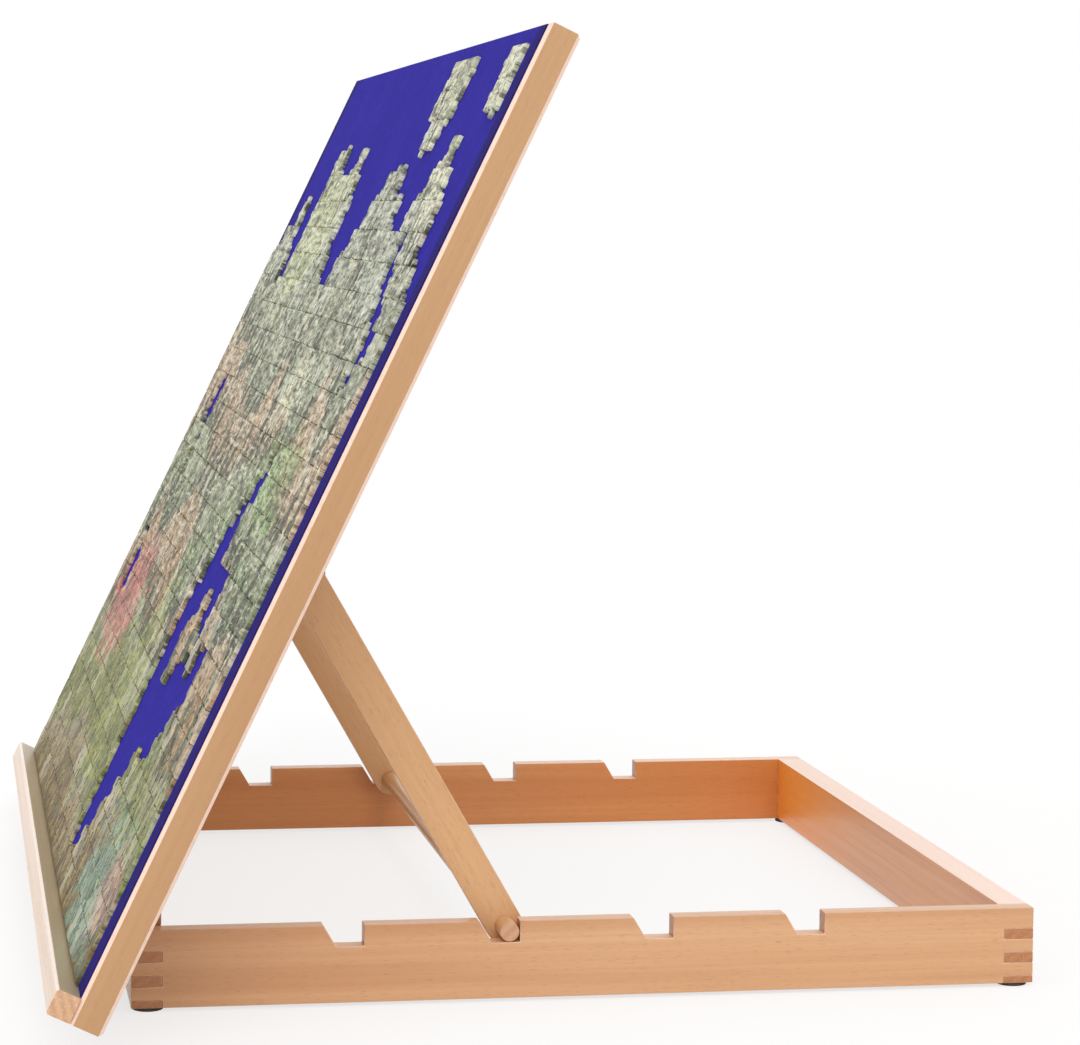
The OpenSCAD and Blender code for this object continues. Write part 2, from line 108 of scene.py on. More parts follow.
class Graph:
    """One node tree, with short ways to add nodes and to join them."""

    def __init__(self, tree: bpy.types.NodeTree) -> None:
        """Keeps the tree that the nodes go into."""
        self.tree = tree

    @classmethod
    def of(cls, owner: bpy.types.Material | bpy.types.World) -> "Graph":
        """Empties the node tree of a material or a world.

        Args:
            owner: The material or the world.

        Returns:
            Its graph.
        """
        owner.use_nodes = True
        owner.node_tree.nodes.clear()
        return cls(owner.node_tree)

    def add(self, kind: str, sockets: Mapping[str | int, Value] | None = None,
            **settings: object) -> bpy.types.Node:
        """Adds one node.

        Args:
            kind: Type of the node, without the word ShaderNode.
            sockets: What each input takes, by its name or number.
            settings: The node's own properties.

        Returns:
            The new node.
        """
        node = self.tree.nodes.new("ShaderNode" + kind)
        for name, value in settings.items():
            setattr(node, name, value)
        for key, value in (sockets or {}).items():
            self.feed(node.inputs[key], value)
        return node

    def feed(self, socket: Socket, value: Value) -> None:
        """Joins an input to another node's output, or sets it to a plain value.

        Args:
            socket: The input.
            value: An output socket, a number, a vector or a colour.
        """
        if isinstance(value, Socket):
            self.tree.links.new(value, socket)
        else:
            socket.default_value = value

    def math(self, operation: str, *values: Value) -> Socket:
        """Adds a Math node, with its inputs in order."""
        return self.add("Math", dict(enumerate(values)), operation=operation).outputs[0]

    def times(self, first: Value, second: Value) -> Socket:
        """Multiplies two numbers."""
        return self.math("MULTIPLY", first, second)

    def total(self, first: Value, share: float, second: Value, other_share: float) -> Socket:
        """Adds a share of one number to a share of another."""
        return self.math("ADD", self.times(first, share), self.times(second, other_share))

    def vector(self, operation: str, *values: Value) -> Socket:
        """Adds a Vector Math node, and gives its vector, or its number where the operation gives one."""
        node = self.add("VectorMath", dict(enumerate(values)), operation=operation)
        return node.outputs[1 if operation in ("LENGTH", "DOT_PRODUCT") else 0]

    def split(self, vector: Value) -> Outputs:
        """Gives a vector's X, Y and Z."""
        return self.add("SeparateXYZ", {0: vector}).outputs

    def mix(self, factor: Value, low: Value, high: Value) -> Socket:
        """Mixes two colours, where the factor is the second one's share."""
        # The node's inputs for numbers, vectors and colours share their names, so they go by number.
        return self.add("Mix", {0: factor, 6: low, 7: high}, data_type="RGBA").outputs[2]

    def span(self, value: Value, low: float, high: float, start: float = 0.0, end: float = 1.0) -> Socket:
        """Maps a number smoothly, so that low becomes start and high becomes end."""
        sockets = {"Value": value, "From Min": low, "From Max": high, "To Min": start, "To Max": end}
        return self.add("MapRange", sockets, interpolation_type="SMOOTHSTEP").outputs["Result"]

    def layers(self, colour: Value, *coats: tuple) -> Socket:
        """Lays coats over a colour, one after another.

        Args:
            colour: The colour below.
            coats: Each coat's colour, what it follows and its share. Where it comes in smoothly, the
                values that it follows from and to come after these.

        Returns:
            The colour on top.
        """
        for over, amount, share, *reach in coats:
            factor = self.span(amount, *reach, 0.0, share) if reach else self.times(amount, share)
            colour = self.mix(factor, colour, over)
        return colour

    def noise(self, place: Value, scale: Value, detail: float = 2.0, roughness: float = 0.5) -> Socket:
        """Adds a Noise Texture.

        Args:
            place: Where it is read.
            scale: How many waves fit into one unit, for all axes or for each.
            detail: Number of finer layers.
            roughness: Strength of the finer layers.

        Returns:
            A number from 0 to 1.
        """
        if not isinstance(scale, float):
            place, scale = self.vector("MULTIPLY", place, scale), 1.0
        sockets = {"Vector": place, "Scale": scale, "Detail": detail, "Roughness": roughness}
        return self.add("TexNoise", sockets).outputs["Fac"]

    def waves(self, place: Value, direction: str, **sockets: float) -> Socket:
        """Adds a Wave Texture, whose inputs have underscores for the spaces in their names."""
        named = {name.replace("_", " "): value for name, value in sockets.items()}
        return self.add("TexWave", {"Vector": place, **named}, bands_direction=direction).outputs["Fac"]


@dataclass(frozen=True)
class Effect:
    """An effect that several materials share: a shader node group, made when it is first placed."""

    title: str
    inputs: Mapping[str, str]
    fill: Callable[[Graph, Outputs], dict[str, Value]]

    def group(self) -> bpy.types.NodeTree:
        """Makes the node group once, and gives it back each time after that.

        Returns:
            The group.
        """
        tree = bpy.data.node_groups.get(self.title)
        if tree is None:
            tree = bpy.data.node_groups.new(self.title, "ShaderNodeTree")
            for label, kind in self.inputs.items():
                tree.interface.new_socket(name=label, in_out="INPUT", socket_type="NodeSocket" + kind)
            graph = Graph(tree)
            results = self.fill(graph, tree.nodes.new("NodeGroupInput").outputs)
            for label in results:
                tree.interface.new_socket(name=label, in_out="OUTPUT", socket_type="NodeSocketFloat")
            leave = tree.nodes.new("NodeGroupOutput")
            for label, value in results.items():
                graph.feed(leave.inputs[label], value)
        return tree


def wood_grain(graph: Graph, given: Outputs) -> dict[str, Value]:
    """Makes fine close grain that runs along the piece's own X.

    Args:
        graph: The group's graph.
        given: The group's inputs.

    Returns:
        What each output takes: masks of the grain's parts, and the height of its relief.
    """
    shift = graph.vector("MULTIPLY", given["Seed"], (0.37, 0.11, 0.23))
    place = graph.vector("ADD", given["Position"], shift)
    bands = graph.noise(place, (1.4, 60.0, 60.0), 3.0, 0.55)
    broad = graph.noise(place, (2.5, 9.0, 9.0))
    fibres = graph.noise(place, (4.0, 380.0, 380.0), 3.0, 0.6)
    dashes = graph.noise(place, (170.0, 1900.0, 1900.0), 1.0)
    pores = graph.noise(place, 900.0, 2.0, 0.6)
    rings = graph.waves(graph.vector("MULTIPLY", place, (0.6, 1.0, 1.35)), "DIAGONAL",
                        Scale=75.0, Distortion=5.0, Detail=2.0, Detail_Scale=0.35)
    end = graph.span(graph.math("ABSOLUTE", graph.split(given["Facing"])[0]), 0.6, 0.85)
    flecks = graph.times(graph.span(dashes, 0.6, 0.72), graph.math("SUBTRACT", 1.0, end))
    return {
        "Tone": graph.span(graph.total(bands, 0.6, broad, 0.4), 0.3, 0.7),
        "Fibres": graph.span(fibres, 0.3, 0.7), "Flecks": flecks, "End": end,
        "Pores": graph.span(pores, 0.52, 0.7), "Rings": rings,
        "Height": graph.total(fibres, 0.5, flecks, -0.5)}


def edge_mask(graph: Graph, given: Outputs) -> dict[str, Value]:
    """Finds chamfers and rounded edges, from how a face is turned, for the painted highlight along them,
    which noise breaks up.

    Args:
        graph: The group's graph.
        given: The group's inputs.

    Returns:
        What the output takes.
    """
    parts = graph.split(graph.vector("ABSOLUTE", given["Facing"]))
    most = graph.math("MAXIMUM", graph.math("MAXIMUM", parts[0], parts[1]), parts[2])
    patchiness = graph.noise(given["Position"], 240.0, 3.0, 0.6)
    return {"Mask": graph.times(graph.span(most, 0.985, 0.86), graph.span(patchiness, 0.1, 0.55, 0.6, 1.0))}


def surface_scuffs(graph: Graph, given: Outputs) -> dict[str, Value]:
    """Makes the fine scratches and smudges on metal and rubber.

    Args:
        graph: The group's graph.
        given: The group's inputs.

    Returns:
        What each output takes.
    """
    lines = graph.noise(given["Position"], given["Stretch"], 3.0, 0.6)
    smudge = graph.noise(given["Position"], 90.0, 3.0, 0.6)
    return {"Lines": graph.span(lines, 0.3, 0.7), "Smudge": graph.span(smudge, 0.35, 0.7)}


GRAIN = Effect("Wood grain", {"Position": "Vector", "Facing": "Vector", "Seed": "Float"}, wood_grain)
EDGES = Effect("Edge mask", {"Position": "Vector", "Facing": "Vector"}, edge_mask)
SCUFFS = Effect("Surface scuffs", {"Position": "Vector", "Stretch": "Vector"}, surface_scuffs)


@dataclass(frozen=True)
class Axes:
    """The directions of a piece: where its grain or length runs, and where its broad face looks."""

    along: Triple = (1.0, 0.0, 0.0)
    out: Triple = UPWARDS

    def turn(self, graph: Graph, vector: Value) -> Socket:
        """Turns a vector of the frame into the piece's own axes.

        Args:
            graph: The material's graph.
            vector: The vector in the frame's axes.

        Returns:
            The vector in the piece's axes.
        """
        along = Vector(self.along).normalized()
        side = Vector(self.out).cross(along).normalized()
        angles = tuple(Matrix((along, side, along.cross(side))).to_euler("XYZ"))
        sockets = {"Vector": vector, "Rotation": angles}
        return graph.add("VectorRotate", sockets, rotation_type="EULER_XYZ").outputs[0]


class Surface:
    """A material that is being made: its graph, its shader and the place that its patterns use."""

    def __init__(self, name: str, axes: Axes) -> None:
        """Makes the material with its shader and turned coordinates.

        Args:
            name: Name of the material.
            axes: The directions of the piece that takes it.
        """
        self.material = bpy.data.materials.new(name)
        self.graph = Graph.of(self.material)
        self.shader = self.graph.add("BsdfPrincipled")
        self.graph.add("OutputMaterial", {"Surface": self.shader.outputs[0]})
        coordinates = self.graph.add("TexCoord").outputs
        self.place = axes.turn(self.graph, coordinates["Object"])
        self.facing = axes.turn(self.graph, coordinates["Normal"])

    def use(self, effect: Effect, **sockets: Value) -> Outputs:
        """Places an effect, fed with the surface's own place and facing where it asks for them.

        Args:
            effect: The effect.
            sockets: What its other inputs take.

        Returns:
            The effect's outputs.
        """
        node = self.graph.add("Group", node_tree=effect.group())
        known = {"Position": self.place, "Facing": self.facing, **sockets}
        for socket in node.inputs:
            self.graph.feed(socket, known[socket.name])
        return node.outputs

    def set(self, **values: Value) -> None:
        """Sets the shader's inputs, with spaces written as underscores."""
        for name, value in values.items():
            self.graph.feed(self.shader.inputs[name.replace("_", " ")], value)

    def bump(self, height: Value, depth: float, strength: float) -> None:
        """Gives the surface a relief, depth metres deep where the height is 1, of which a share shows."""
        sockets = {"Height": height, "Distance": depth, "Strength": strength}
        self.set(Normal=self.graph.add("Bump", sockets).outputs[0])


@dataclass(frozen=True)
class Tint:
    """Painted light or shade: a colour that the faces turned one way take on, all over or growing along the
    piece.
    """

    way: Triple
    colour: Colour
    share: float = 0.8
    grows: Point | None = None
    turned: Point = (0.6, 0.9)

    def lay(self, surface: Surface, colour: Value) -> Socket:
        """Lays the tint over a colour.

        Args:
            surface: The surface.
            colour: Its colour so far.

        Returns:
            The tinted colour.
        """
        graph = surface.graph
        likeness = graph.vector("DOT_PRODUCT", surface.facing, self.way)
        share = graph.span(likeness, *self.turned, 0.0, self.share)
        if self.grows:
            share = graph.times(share, graph.span(graph.split(surface.place)[0], *self.grows))
        return graph.mix(share, colour, self.colour)


@dataclass(frozen=True)
class Beech:
    """Lacquered beech: warm wood with short fine flecks, long faint streaks, darker end grain and a painted
    highlight along its edges.
    """

    light: Colour
    dark: Colour
    # Colour of the painted highlight along chamfers and rounded edges.
    edge: Colour = srgb(236, 204, 176)
    end: Colour = srgb(172, 114, 72)
    fleck: Colour = srgb(132, 78, 44)
    fleck_share: float = 0.22
    streak_share: float = 0.38
    edge_highlight_share: float = 0.75
    ring_share: float = 0.26
    pore_share: float = 0.3
    rough: Point = (0.36, 0.5)
    coat: float = 0.28
    coat_rough: float = 0.24
    relief: float = 0.15 * MM
    tints: tuple[Tint, ...] = ()

    def paint(self, surface: Surface, seed: float) -> None:
        """Paints the wood of one piece.

        Args:
            surface: The surface.
            seed: Shifts the grain, so that no two pieces are alike.
        """
        graph = surface.graph
        grain = surface.use(GRAIN, Seed=seed)
        colour = graph.mix(grain["Tone"], self.light, self.dark)
        colour = graph.layers(colour, (self.dark, grain["Fibres"], self.streak_share))
        for tint in self.tints:
            colour = tint.lay(surface, colour)
        colour = graph.layers(colour, (self.fleck, grain["Flecks"], self.fleck_share))
        ends = graph.layers(self.end, (self.fleck, grain["Rings"], self.ring_share),
                            (self.light, grain["Pores"], self.pore_share))
        colour = graph.mix(grain["End"], colour, ends)
        # Painted highlight along the chamfers and rounded edges, broken up by noise.
        colour = graph.layers(colour, (self.edge, surface.use(EDGES)["Mask"], self.edge_highlight_share))
        surface.set(Base_Color=colour, Roughness=graph.span(grain["Fibres"], 0.0, 1.0, *self.rough),
                    Coat_Weight=self.coat, Coat_Roughness=self.coat_rough, IOR=WOOD_IOR)
        surface.bump(grain["Height"], self.relief, 0.6)


@dataclass(frozen=True)
class Plywood:
    """Sanded birch plywood: a pale, wavy figured face and dark glue lines between the layers of its edge."""

    face: Colour = srgb(222, 194, 150)
    streak: Colour = srgb(196, 160, 112)
    late: Colour = srgb(186, 146, 98)
    glue: Colour = srgb(120, 84, 54)
    layer: float = 1.35 * MM
    rough: Point = (0.5, 0.62)
    relief: float = 0.12 * MM

    def paint(self, surface: Surface, seed: float) -> None:
        """Paints the panel.

        Args:
            surface: The surface.
            seed: Shifts the grain.
        """
        graph = surface.graph
        grain = surface.use(GRAIN, Seed=seed)
        broad = graph.span(graph.math("ABSOLUTE", graph.split(surface.facing)[2]), 0.4, 0.7)
        depth = graph.times(graph.split(surface.place)[2], math.pi / self.layer)
        seams = graph.span(graph.math("ABSOLUTE", graph.math("SINE", depth)), 0.35, 0.1)
        lines = graph.times(seams, graph.math("SUBTRACT", 1.0, broad))
        figure = graph.waves(graph.vector("MULTIPLY", surface.place, (0.22, 1.0, 1.0)), "Y", Scale=7.0,
                             Distortion=9.0, Detail=3.0, Detail_Scale=2.2, Detail_Roughness=0.55)
        colour = graph.layers(
            self.face, (self.streak, grain["Tone"], 0.45), (self.late, figure, 0.5, 0.35, 1.0),
            (self.streak, grain["Fibres"], 0.32), (self.glue, grain["Flecks"], 0.2), (self.glue, lines, 0.8))
        surface.set(Base_Color=colour, Roughness=graph.span(grain["Tone"], 0.0, 1.0, *self.rough),
                    IOR=WOOD_IOR)
        surface.bump(grain["Height"], self.relief, 0.6)


@dataclass(frozen=True)
class Felt:
    """Short blue-violet felt: matted and slightly clumped, with painted shade along its two sides."""

    body: Colour = srgb(42, 34, 146)
    deep: Colour = srgb(31, 24, 122)
    fluff: Colour = srgb(56, 48, 164)
    sheen: Colour = srgb(110, 96, 214)
    # Colour of the painted shade in a band along the two sides of the cloth.
    rim: Colour = srgb(33, 25, 84)
    shade_band_width: float = 16 * MM
    shade_band_share: float = 0.85
    rough: float = 0.95
    relief: float = 0.35 * MM

    def paint(self, surface: Surface, half_width: float) -> None:
        """Paints the cloth.

        Args:
            surface: The surface.
            half_width: Half the width of the cloth, across the board.
        """
        graph = surface.graph
        clumps = graph.noise(surface.place, 160.0, 3.0, 0.55)
        fibres = graph.noise(surface.place, 2600.0, 2.0, 0.7)
        patchiness = graph.noise(surface.place, 14.0)
        across = graph.math("ABSOLUTE", graph.split(surface.place)[1])
        # Painted shade in a band along both sides of the cloth.
        shade_band = (half_width - 1.3 * self.shade_band_width, half_width - 0.8 * self.shade_band_width)
        colour = graph.layers(
            self.body, (self.deep, clumps, 0.55, 0.3, 0.7), (self.fluff, fibres, 0.5, 0.45, 0.75),
            (self.fluff, patchiness, 0.18, 0.4, 0.75), (self.rim, across, self.shade_band_share, *shade_band))
        surface.set(Base_Color=colour, Roughness=self.rough, Sheen_Weight=0.06, Sheen_Roughness=0.6,
                    Sheen_Tint=self.sheen, Specular_IOR_Level=0.08)
        surface.bump(graph.total(clumps, 0.4, fibres, 0.6), self.relief, 0.7)


@dataclass(frozen=True)
class Meadow:
    """One soft-edged patch of flowers or water in the picture, placed in pieces across and up."""

    across: float
    up: float
    half_w: float
    half_h: float
    colour: Colour
    share: float


@dataclass(frozen=True)
class Ridge:
    """One line of hills in the picture, which hides what is behind it, with firs along its crest.

    The crest's height, its swing up and down and the firs' spacing are in pieces.
    """

    crest: float
    swing: float
    waves: float
    colour: Colour
    firs: float = 0.0


@dataclass(frozen=True)
class Picture:
    """Print of the puzzle, over the edges that the press rounded and over the cut walls too: a made-up view
    in dabs of grey-green.

    It shows hills, woods and flower meadows, and is placed in pieces across and up.
    """

    sky: Colour = srgb(208, 212, 180)
    ridges: tuple[Ridge, ...] = (
        Ridge(23.0, 2.8, 0.13, srgb(184, 190, 172), 0.7), Ridge(20.0, 2.6, 0.17, srgb(166, 172, 146), 0.9),
        Ridge(16.6, 1.8, 0.26, srgb(196, 168, 136), 1.1), Ridge(13.4, 1.6, 0.1, srgb(142, 156, 116), 1.4),
        Ridge(10.2, 2.2, 0.14, srgb(178, 144, 106), 1.7), Ridge(6.4, 1.8, 0.12, srgb(122, 132, 72), 2.1),
        Ridge(2.8, 1.4, 0.2, srgb(122, 98, 54)))
    meadows: tuple[Meadow, ...] = (
        Meadow(31.0, 7.2, 4.6, 2.2, srgb(206, 122, 116), 0.85),
        Meadow(4.5, 1.6, 4.5, 2.2, srgb(120, 166, 152), 0.75),
        Meadow(19.5, 6.0, 2.4, 4.0, srgb(164, 176, 96), 0.6),
        Meadow(8.0, 14.0, 4.2, 1.6, srgb(156, 190, 120), 0.6),
        Meadow(27.0, 21.5, 4.0, 3.0, srgb(214, 222, 160), 0.55),
        Meadow(2.0, 2.2, 2.0, 1.2, srgb(206, 140, 138), 0.6),
        Meadow(13.0, 16.8, 3.0, 1.2, srgb(224, 232, 200), 0.6))
    shade: Colour = srgb(54, 50, 38)
    light: Colour = srgb(230, 226, 204)
    straw: Colour = srgb(212, 196, 118)
    moss: Colour = srgb(108, 132, 70)
    fir: Colour = srgb(58, 70, 48)
    clay: Colour = srgb(178, 122, 96)
    sunlit: float = 0.3
    treetops: float = 0.45
    fir_height: float = 3.2
    ridge_shift: float = 7.3
    meadow_fray: float = 0.5
    thread: float = 9.0
    rough: Point = (0.5, 0.64)
    relief: float = 0.03 * MM

    def paint(self, surface: Surface, cols: int, rows: int) -> None:
        """Prints the picture. It is placed by the UV map, which spans the whole puzzle.

        Args:
            surface: The surface.
            cols: Number of pieces across.
            rows: Number of pieces up.
        """
        graph = surface.graph
        place = graph.vector("MULTIPLY", graph.add("UVMap", uv_map="Picture").outputs[0], (cols, rows, 0.0))
        clouds = graph.noise(place, (0.12, 0.35, 1.0), 3.0, 0.6)
        colour = graph.layers(self.sky, (self.light, clouds, 0.5, 0.4, 0.65))
        for index, ridge in enumerate(self.ridges):
            colour = self.raise_ridge(graph, colour, place, ridge, index)
        for meadow in self.meadows:
            colour = self.sow_meadow(graph, colour, place, meadow)
        hues = graph.noise(place, (1.3, 0.9, 1.0), 4.0, 0.7)
        bushes = graph.noise(place, (0.8, 1.6, 1.0), 3.0, 0.65)
        dabs = graph.noise(place, (1.1, 4.5, 1.0), 3.0, 0.7)
        leaves = graph.noise(place, 3.4, 4.0, 0.75)
        stalks = graph.noise(place, (6.5, 1.1, 1.0), 3.0, 0.7)
        grassy = graph.span(graph.split(place)[1], 11.0, 4.0)
        strokes = graph.add("Mix", {0: grassy, 2: dabs, 3: stalks}).outputs[0]
        glint = graph.mix(grassy, self.light, self.straw)
        island = graph.add("NewGeometry").outputs["Random Per Island"]
        colour = graph.layers(
            colour, (self.moss, hues, 0.3, 0.48, 0.36), (self.clay, hues, 0.28, 0.54, 0.66),
            (self.shade, bushes, 0.5, 0.5, 0.36), (self.shade, strokes, 0.62, 0.5, 0.41),
            (self.shade, leaves, 0.72, 0.5, 0.4), (glint, strokes, 0.6, 0.54, 0.65),
            (glint, leaves, 0.5, 0.55, 0.66), (self.shade, island, 0.34, 0.4, 0.0),
            (self.light, island, 0.3, 0.7, 1.0))
        linen = [graph.waves(place, direction, Scale=self.thread) for direction in ("X", "Y")]
        surface.set(Base_Color=colour, Roughness=graph.span(leaves, 0.3, 0.7, *self.rough),
                    Specular_IOR_Level=0.3)
        surface.bump(graph.times(*linen), self.relief, 0.5)

    def raise_ridge(self, graph: Graph, colour: Value, place: Value, ridge: Ridge, index: int) -> Socket:
        """Paints one line of hills over the picture, sunlit along its crest.

        Args:
            graph: The material's graph.
            colour: The picture so far.
            place: Where on the picture it is read, in pieces.
            ridge: The line of hills.
            index: Its number, which gives it a shape of its own.

        Returns:
            The picture with the hills.
        """
        parts = graph.split(place)
        across = graph.add("CombineXYZ", {0: parts[0], 1: self.ridge_shift * index}).outputs[0]
        swell = graph.span(graph.noise(across, ridge.waves, 1.0), 0.25, 0.75, -ridge.swing, ridge.swing)
        trees = graph.span(graph.noise(across, 1.7, 3.0, 0.7), 0.3, 0.7, -self.treetops, self.treetops)
        crest = graph.math("ADD", graph.math("ADD", swell, trees), ridge.crest)
        depth = graph.math("SUBTRACT", crest, parts[1])
        if ridge.firs:
            tips = graph.math("PINGPONG", graph.times(parts[0], 1.0 / ridge.firs), 0.5)
            taller = graph.span(graph.noise(across, 0.9, 2.0, 0.7), 0.3, 0.7, 0.3, 1.3)
            spires = graph.times(graph.times(tips, self.fir_height * ridge.firs), taller)
            colour = graph.layers(colour, (self.fir, graph.math("ADD", depth, spires), 0.9, -0.05, 0.05))
        lit = graph.layers(ridge.colour, (self.light, depth, self.sunlit, 1.6, 0.1))
        return graph.layers(colour, (lit, depth, 1.0, -0.06, 0.06))

    def sow_meadow(self, graph: Graph, colour: Value, place: Value, meadow: Meadow) -> Socket:
        """Paints one patch over the picture.

        Args:
            graph: The material's graph.
            colour: The picture so far.
            place: Where on the picture it is read, in pieces.
            meadow: The patch.

        Returns:
            The picture with the patch.
        """
        away = graph.vector("SUBTRACT", place, (meadow.across, meadow.up, 0.0))
        away = graph.vector("DIVIDE", away, (meadow.half_w, meadow.half_h, 1.0))
        fray = graph.span(graph.noise(place, 0.9, 3.0), 0.2, 0.8, -self.meadow_fray, self.meadow_fray)
        ragged = graph.math("ADD", graph.vector("LENGTH", away), fray)
        return graph.layers(colour, (meadow.colour, ragged, meadow.share, 1.1, 0.7))


@dataclass(frozen=True)
class Metal:
    """Plated or solid metal with a few smudges, and fine lines from the brush, which ran along the piece."""

    colour: Colour
    dull: Colour
    smooth: float
    rough: float
    stretch: Triple = (120.0, 2600.0, 2600.0)
    relief: float = 0.02 * MM

    def paint(self, surface: Surface) -> None:
        """Paints the metal of one piece.

        Args:
            surface: The surface.
        """
        graph = surface.graph
        scuffs = surface.use(SCUFFS, Stretch=self.stretch)
        wear = graph.total(scuffs["Smudge"], 0.5, scuffs["Lines"], 0.25)
        surface.set(Base_Color=graph.mix(wear, self.colour, self.dull), Metallic=1.0,
                    Roughness=graph.span(wear, 0.0, 0.75, self.smooth, self.rough))
        surface.bump(scuffs["Lines"], self.relief, 0.5)


@dataclass(frozen=True)
class Rubber:
    """Moulded dark rubber of the feet, dusty in its grain."""

    colour: Colour = srgb(52, 42, 38)
    dust: Colour = srgb(96, 84, 76)
    stretch: Triple = (2200.0, 2200.0, 2200.0)
    rough: Point = (0.7, 0.9)
    relief: float = 0.06 * MM

    def paint(self, surface: Surface) -> None:
        """Paints the rubber of one foot.

        Args:
            surface: The surface.
        """
        graph = surface.graph
        scuffs = surface.use(SCUFFS, Stretch=self.stretch)
        surface.set(Base_Color=graph.layers(self.colour, (self.dust, scuffs["Smudge"], 0.5)),
                    Roughness=graph.span(scuffs["Lines"], 0.0, 1.0, *self.rough))
        surface.bump(scuffs["Lines"], self.relief, 0.6)


class Finish(Enum):
    """The finishes of the pieces. The tints are painted light: painted highlight on the upper faces, painted
    shade and painted warm bounce light on the inner faces.
    """

    # Base beech with painted highlight on its upper faces.
    BASE_BEECH = Beech(srgb(210, 164, 122), srgb(188, 136, 94), tints=(
        Tint(UPWARDS, srgb(228, 192, 164), 0.35),))
    # The base beech made darker and deeper as painted shade on the far rail, with painted warm bounce light
    # on its inner face towards the end rail, and painted highlight on top.
    SHADED_BEECH = Beech(srgb(214, 152, 94), srgb(192, 122, 66), streak_share=0.28, tints=(
        Tint((0.0, -1.0, 0.0), srgb(196, 112, 44), 0.6, (0.02, 0.25)),
        Tint(UPWARDS, srgb(236, 208, 190), 0.75)))
    # The base beech made warmer as painted light on the end rail, with painted warm bounce light on its
    # inner face towards the far rail, and painted highlight on top.
    END_BEECH = Beech(srgb(226, 166, 118), srgb(210, 146, 98), streak_share=0.15, fleck_share=0.12, tints=(
        Tint((0.0, 1.0, 0.0), srgb(252, 158, 46), 0.8, (0.0, 0.22)),
        Tint(UPWARDS, srgb(240, 216, 202), 0.85)))
    # The third colour of a beech is its painted edge highlight.
    BOARD_BEECH = Beech(srgb(190, 148, 106), srgb(174, 130, 88), srgb(246, 216, 200), srgb(158, 108, 70),
                        fleck_share=0.12)
    BLOCK_BEECH = replace(BOARD_BEECH, edge=srgb(204, 166, 126), end=srgb(160, 112, 74), edge_highlight_share=0.2)
    PROP_BEECH = Beech(srgb(214, 170, 124), srgb(196, 148, 102), srgb(236, 202, 168), srgb(196, 150, 116))
    DOWEL_BEECH = replace(PROP_BEECH, edge=srgb(226, 188, 148), edge_highlight_share=0.2)
    # A much paler copy of the board beech as painted highlight on the ledge, with painted shade on its inner
    # face.
    LIT_LEDGE_BEECH = Beech(srgb(232, 212, 196), srgb(218, 190, 166), srgb(246, 230, 220), srgb(204, 160, 122),
                        tints=(Tint((0.0, -1.0, 0.0), srgb(168, 150, 112)),))
    PLYWOOD = Plywood()
    FELT = Felt()
    PICTURE = Picture()
    HINGE_BRASS = Metal(srgb(230, 200, 134), srgb(190, 154, 92), 0.26, 0.44)
    SCREW_BRASS = Metal(srgb(236, 208, 146), srgb(198, 164, 102), 0.22, 0.38)
    ZINC = Metal(srgb(196, 198, 204), srgb(150, 152, 158), 0.22, 0.4)
    RUBBER = Rubber()

    def dress(self, name: str, axes: Axes = Axes(), **details: float) -> bpy.types.Material:
        """Makes the material of one piece.

        Args:
            name: Name of the piece.
            axes: The piece's directions.
            details: What this kind of finish still needs, such as the seed of its grain.

        Returns:
            The material.
        """
        surface = Surface(f"{type(self.value).__name__.lower()} {name}", axes)
        self.value.paint(surface, **details)
        return surface.material


@dataclass(frozen=True)
class BoardFrame:
    """The board's own axes: u up the board from the hinge axis, y across it, w out of its front."""

    hinge: Vector
    up: Vector
    out: Vector

    @classmethod
    def from_pivots(cls, hinge: Vector, pivot: Vector) -> "BoardFrame":
        """Works out the tilt from the two hinge axes.

        Args:
            hinge: Where the board's hinge is.
            pivot: Where the prop's pivot is.

        Returns:
            The board's axes.
        """
        reach = pivot - hinge
        tilt = math.atan2(reach.z, reach.x) + math.atan2(PIVOT_BACK, PIVOT_UP)
        rise, run = math.sin(tilt), math.cos(tilt)
        return cls(hinge, Vector((run, 0, rise)), Vector((-rise, 0, run)))

    def place(self, u: float, y: float, w: float) -> Vector:
        """Returns where a point of the board lies in the frame's axes."""
        return self.hinge + self.up * u + self.out * w + Vector((0, y, 0))

    def extent(self, node: bpy.types.Object) -> list[Point]:
        """Returns where a node starts and ends up the board, across it and out of its front."""
        spots = [((v.co - self.hinge).dot(self.up), v.co.y, (v.co - self.hinge).dot(self.out))
                 for v in node.data.vertices]
        return [(min(side), max(side)) for side in zip(*spots)]


def new_object(name: str, data: bpy.types.ID) -> bpy.types.Object:
    """Adds a mesh, a lamp or a camera to the scene.

    Args:
        name: Name of the object.
        data: Its mesh, lamp or camera.

    Returns:
        The object.
    """
    piece = bpy.data.objects.new(name, data)
    bpy.context.scene.collection.objects.link(piece)
    return piece


def finish_mesh(bm: bmesh.types.BMesh, name: str, crisp: float = CRISP) -> bpy.types.Mesh:
    """Turns a bmesh into a smooth-shaded mesh whose sharp edges stay crisp.

    Args:
        bm: The bmesh, which is freed.
        name: Name of the mesh.
        crisp: Angle in degrees from which an edge stays crisp.

    Returns:
        The mesh.
    """
    for face in bm.faces:
        face.smooth = True
    for edge in bm.edges:
        edge.smooth = len(edge.link_faces) == 2 and edge.calc_face_angle(0.0) < math.radians(crisp)
    mesh = bpy.data.meshes.new(name)
    bm.to_mesh(mesh)
    bm.free()
    return mesh


def welded(node: bpy.types.Object) -> bmesh.types.BMesh:
    """Gives the mesh of a CAD node with each corner as one point.

    Args:
        node: The node.

    Returns:
        The bmesh.
    """
    bm = bmesh.new()
    bm.from_mesh(node.data)
    bmesh.ops.remove_doubles(bm, verts=bm.verts, dist=WELD)
    return bm


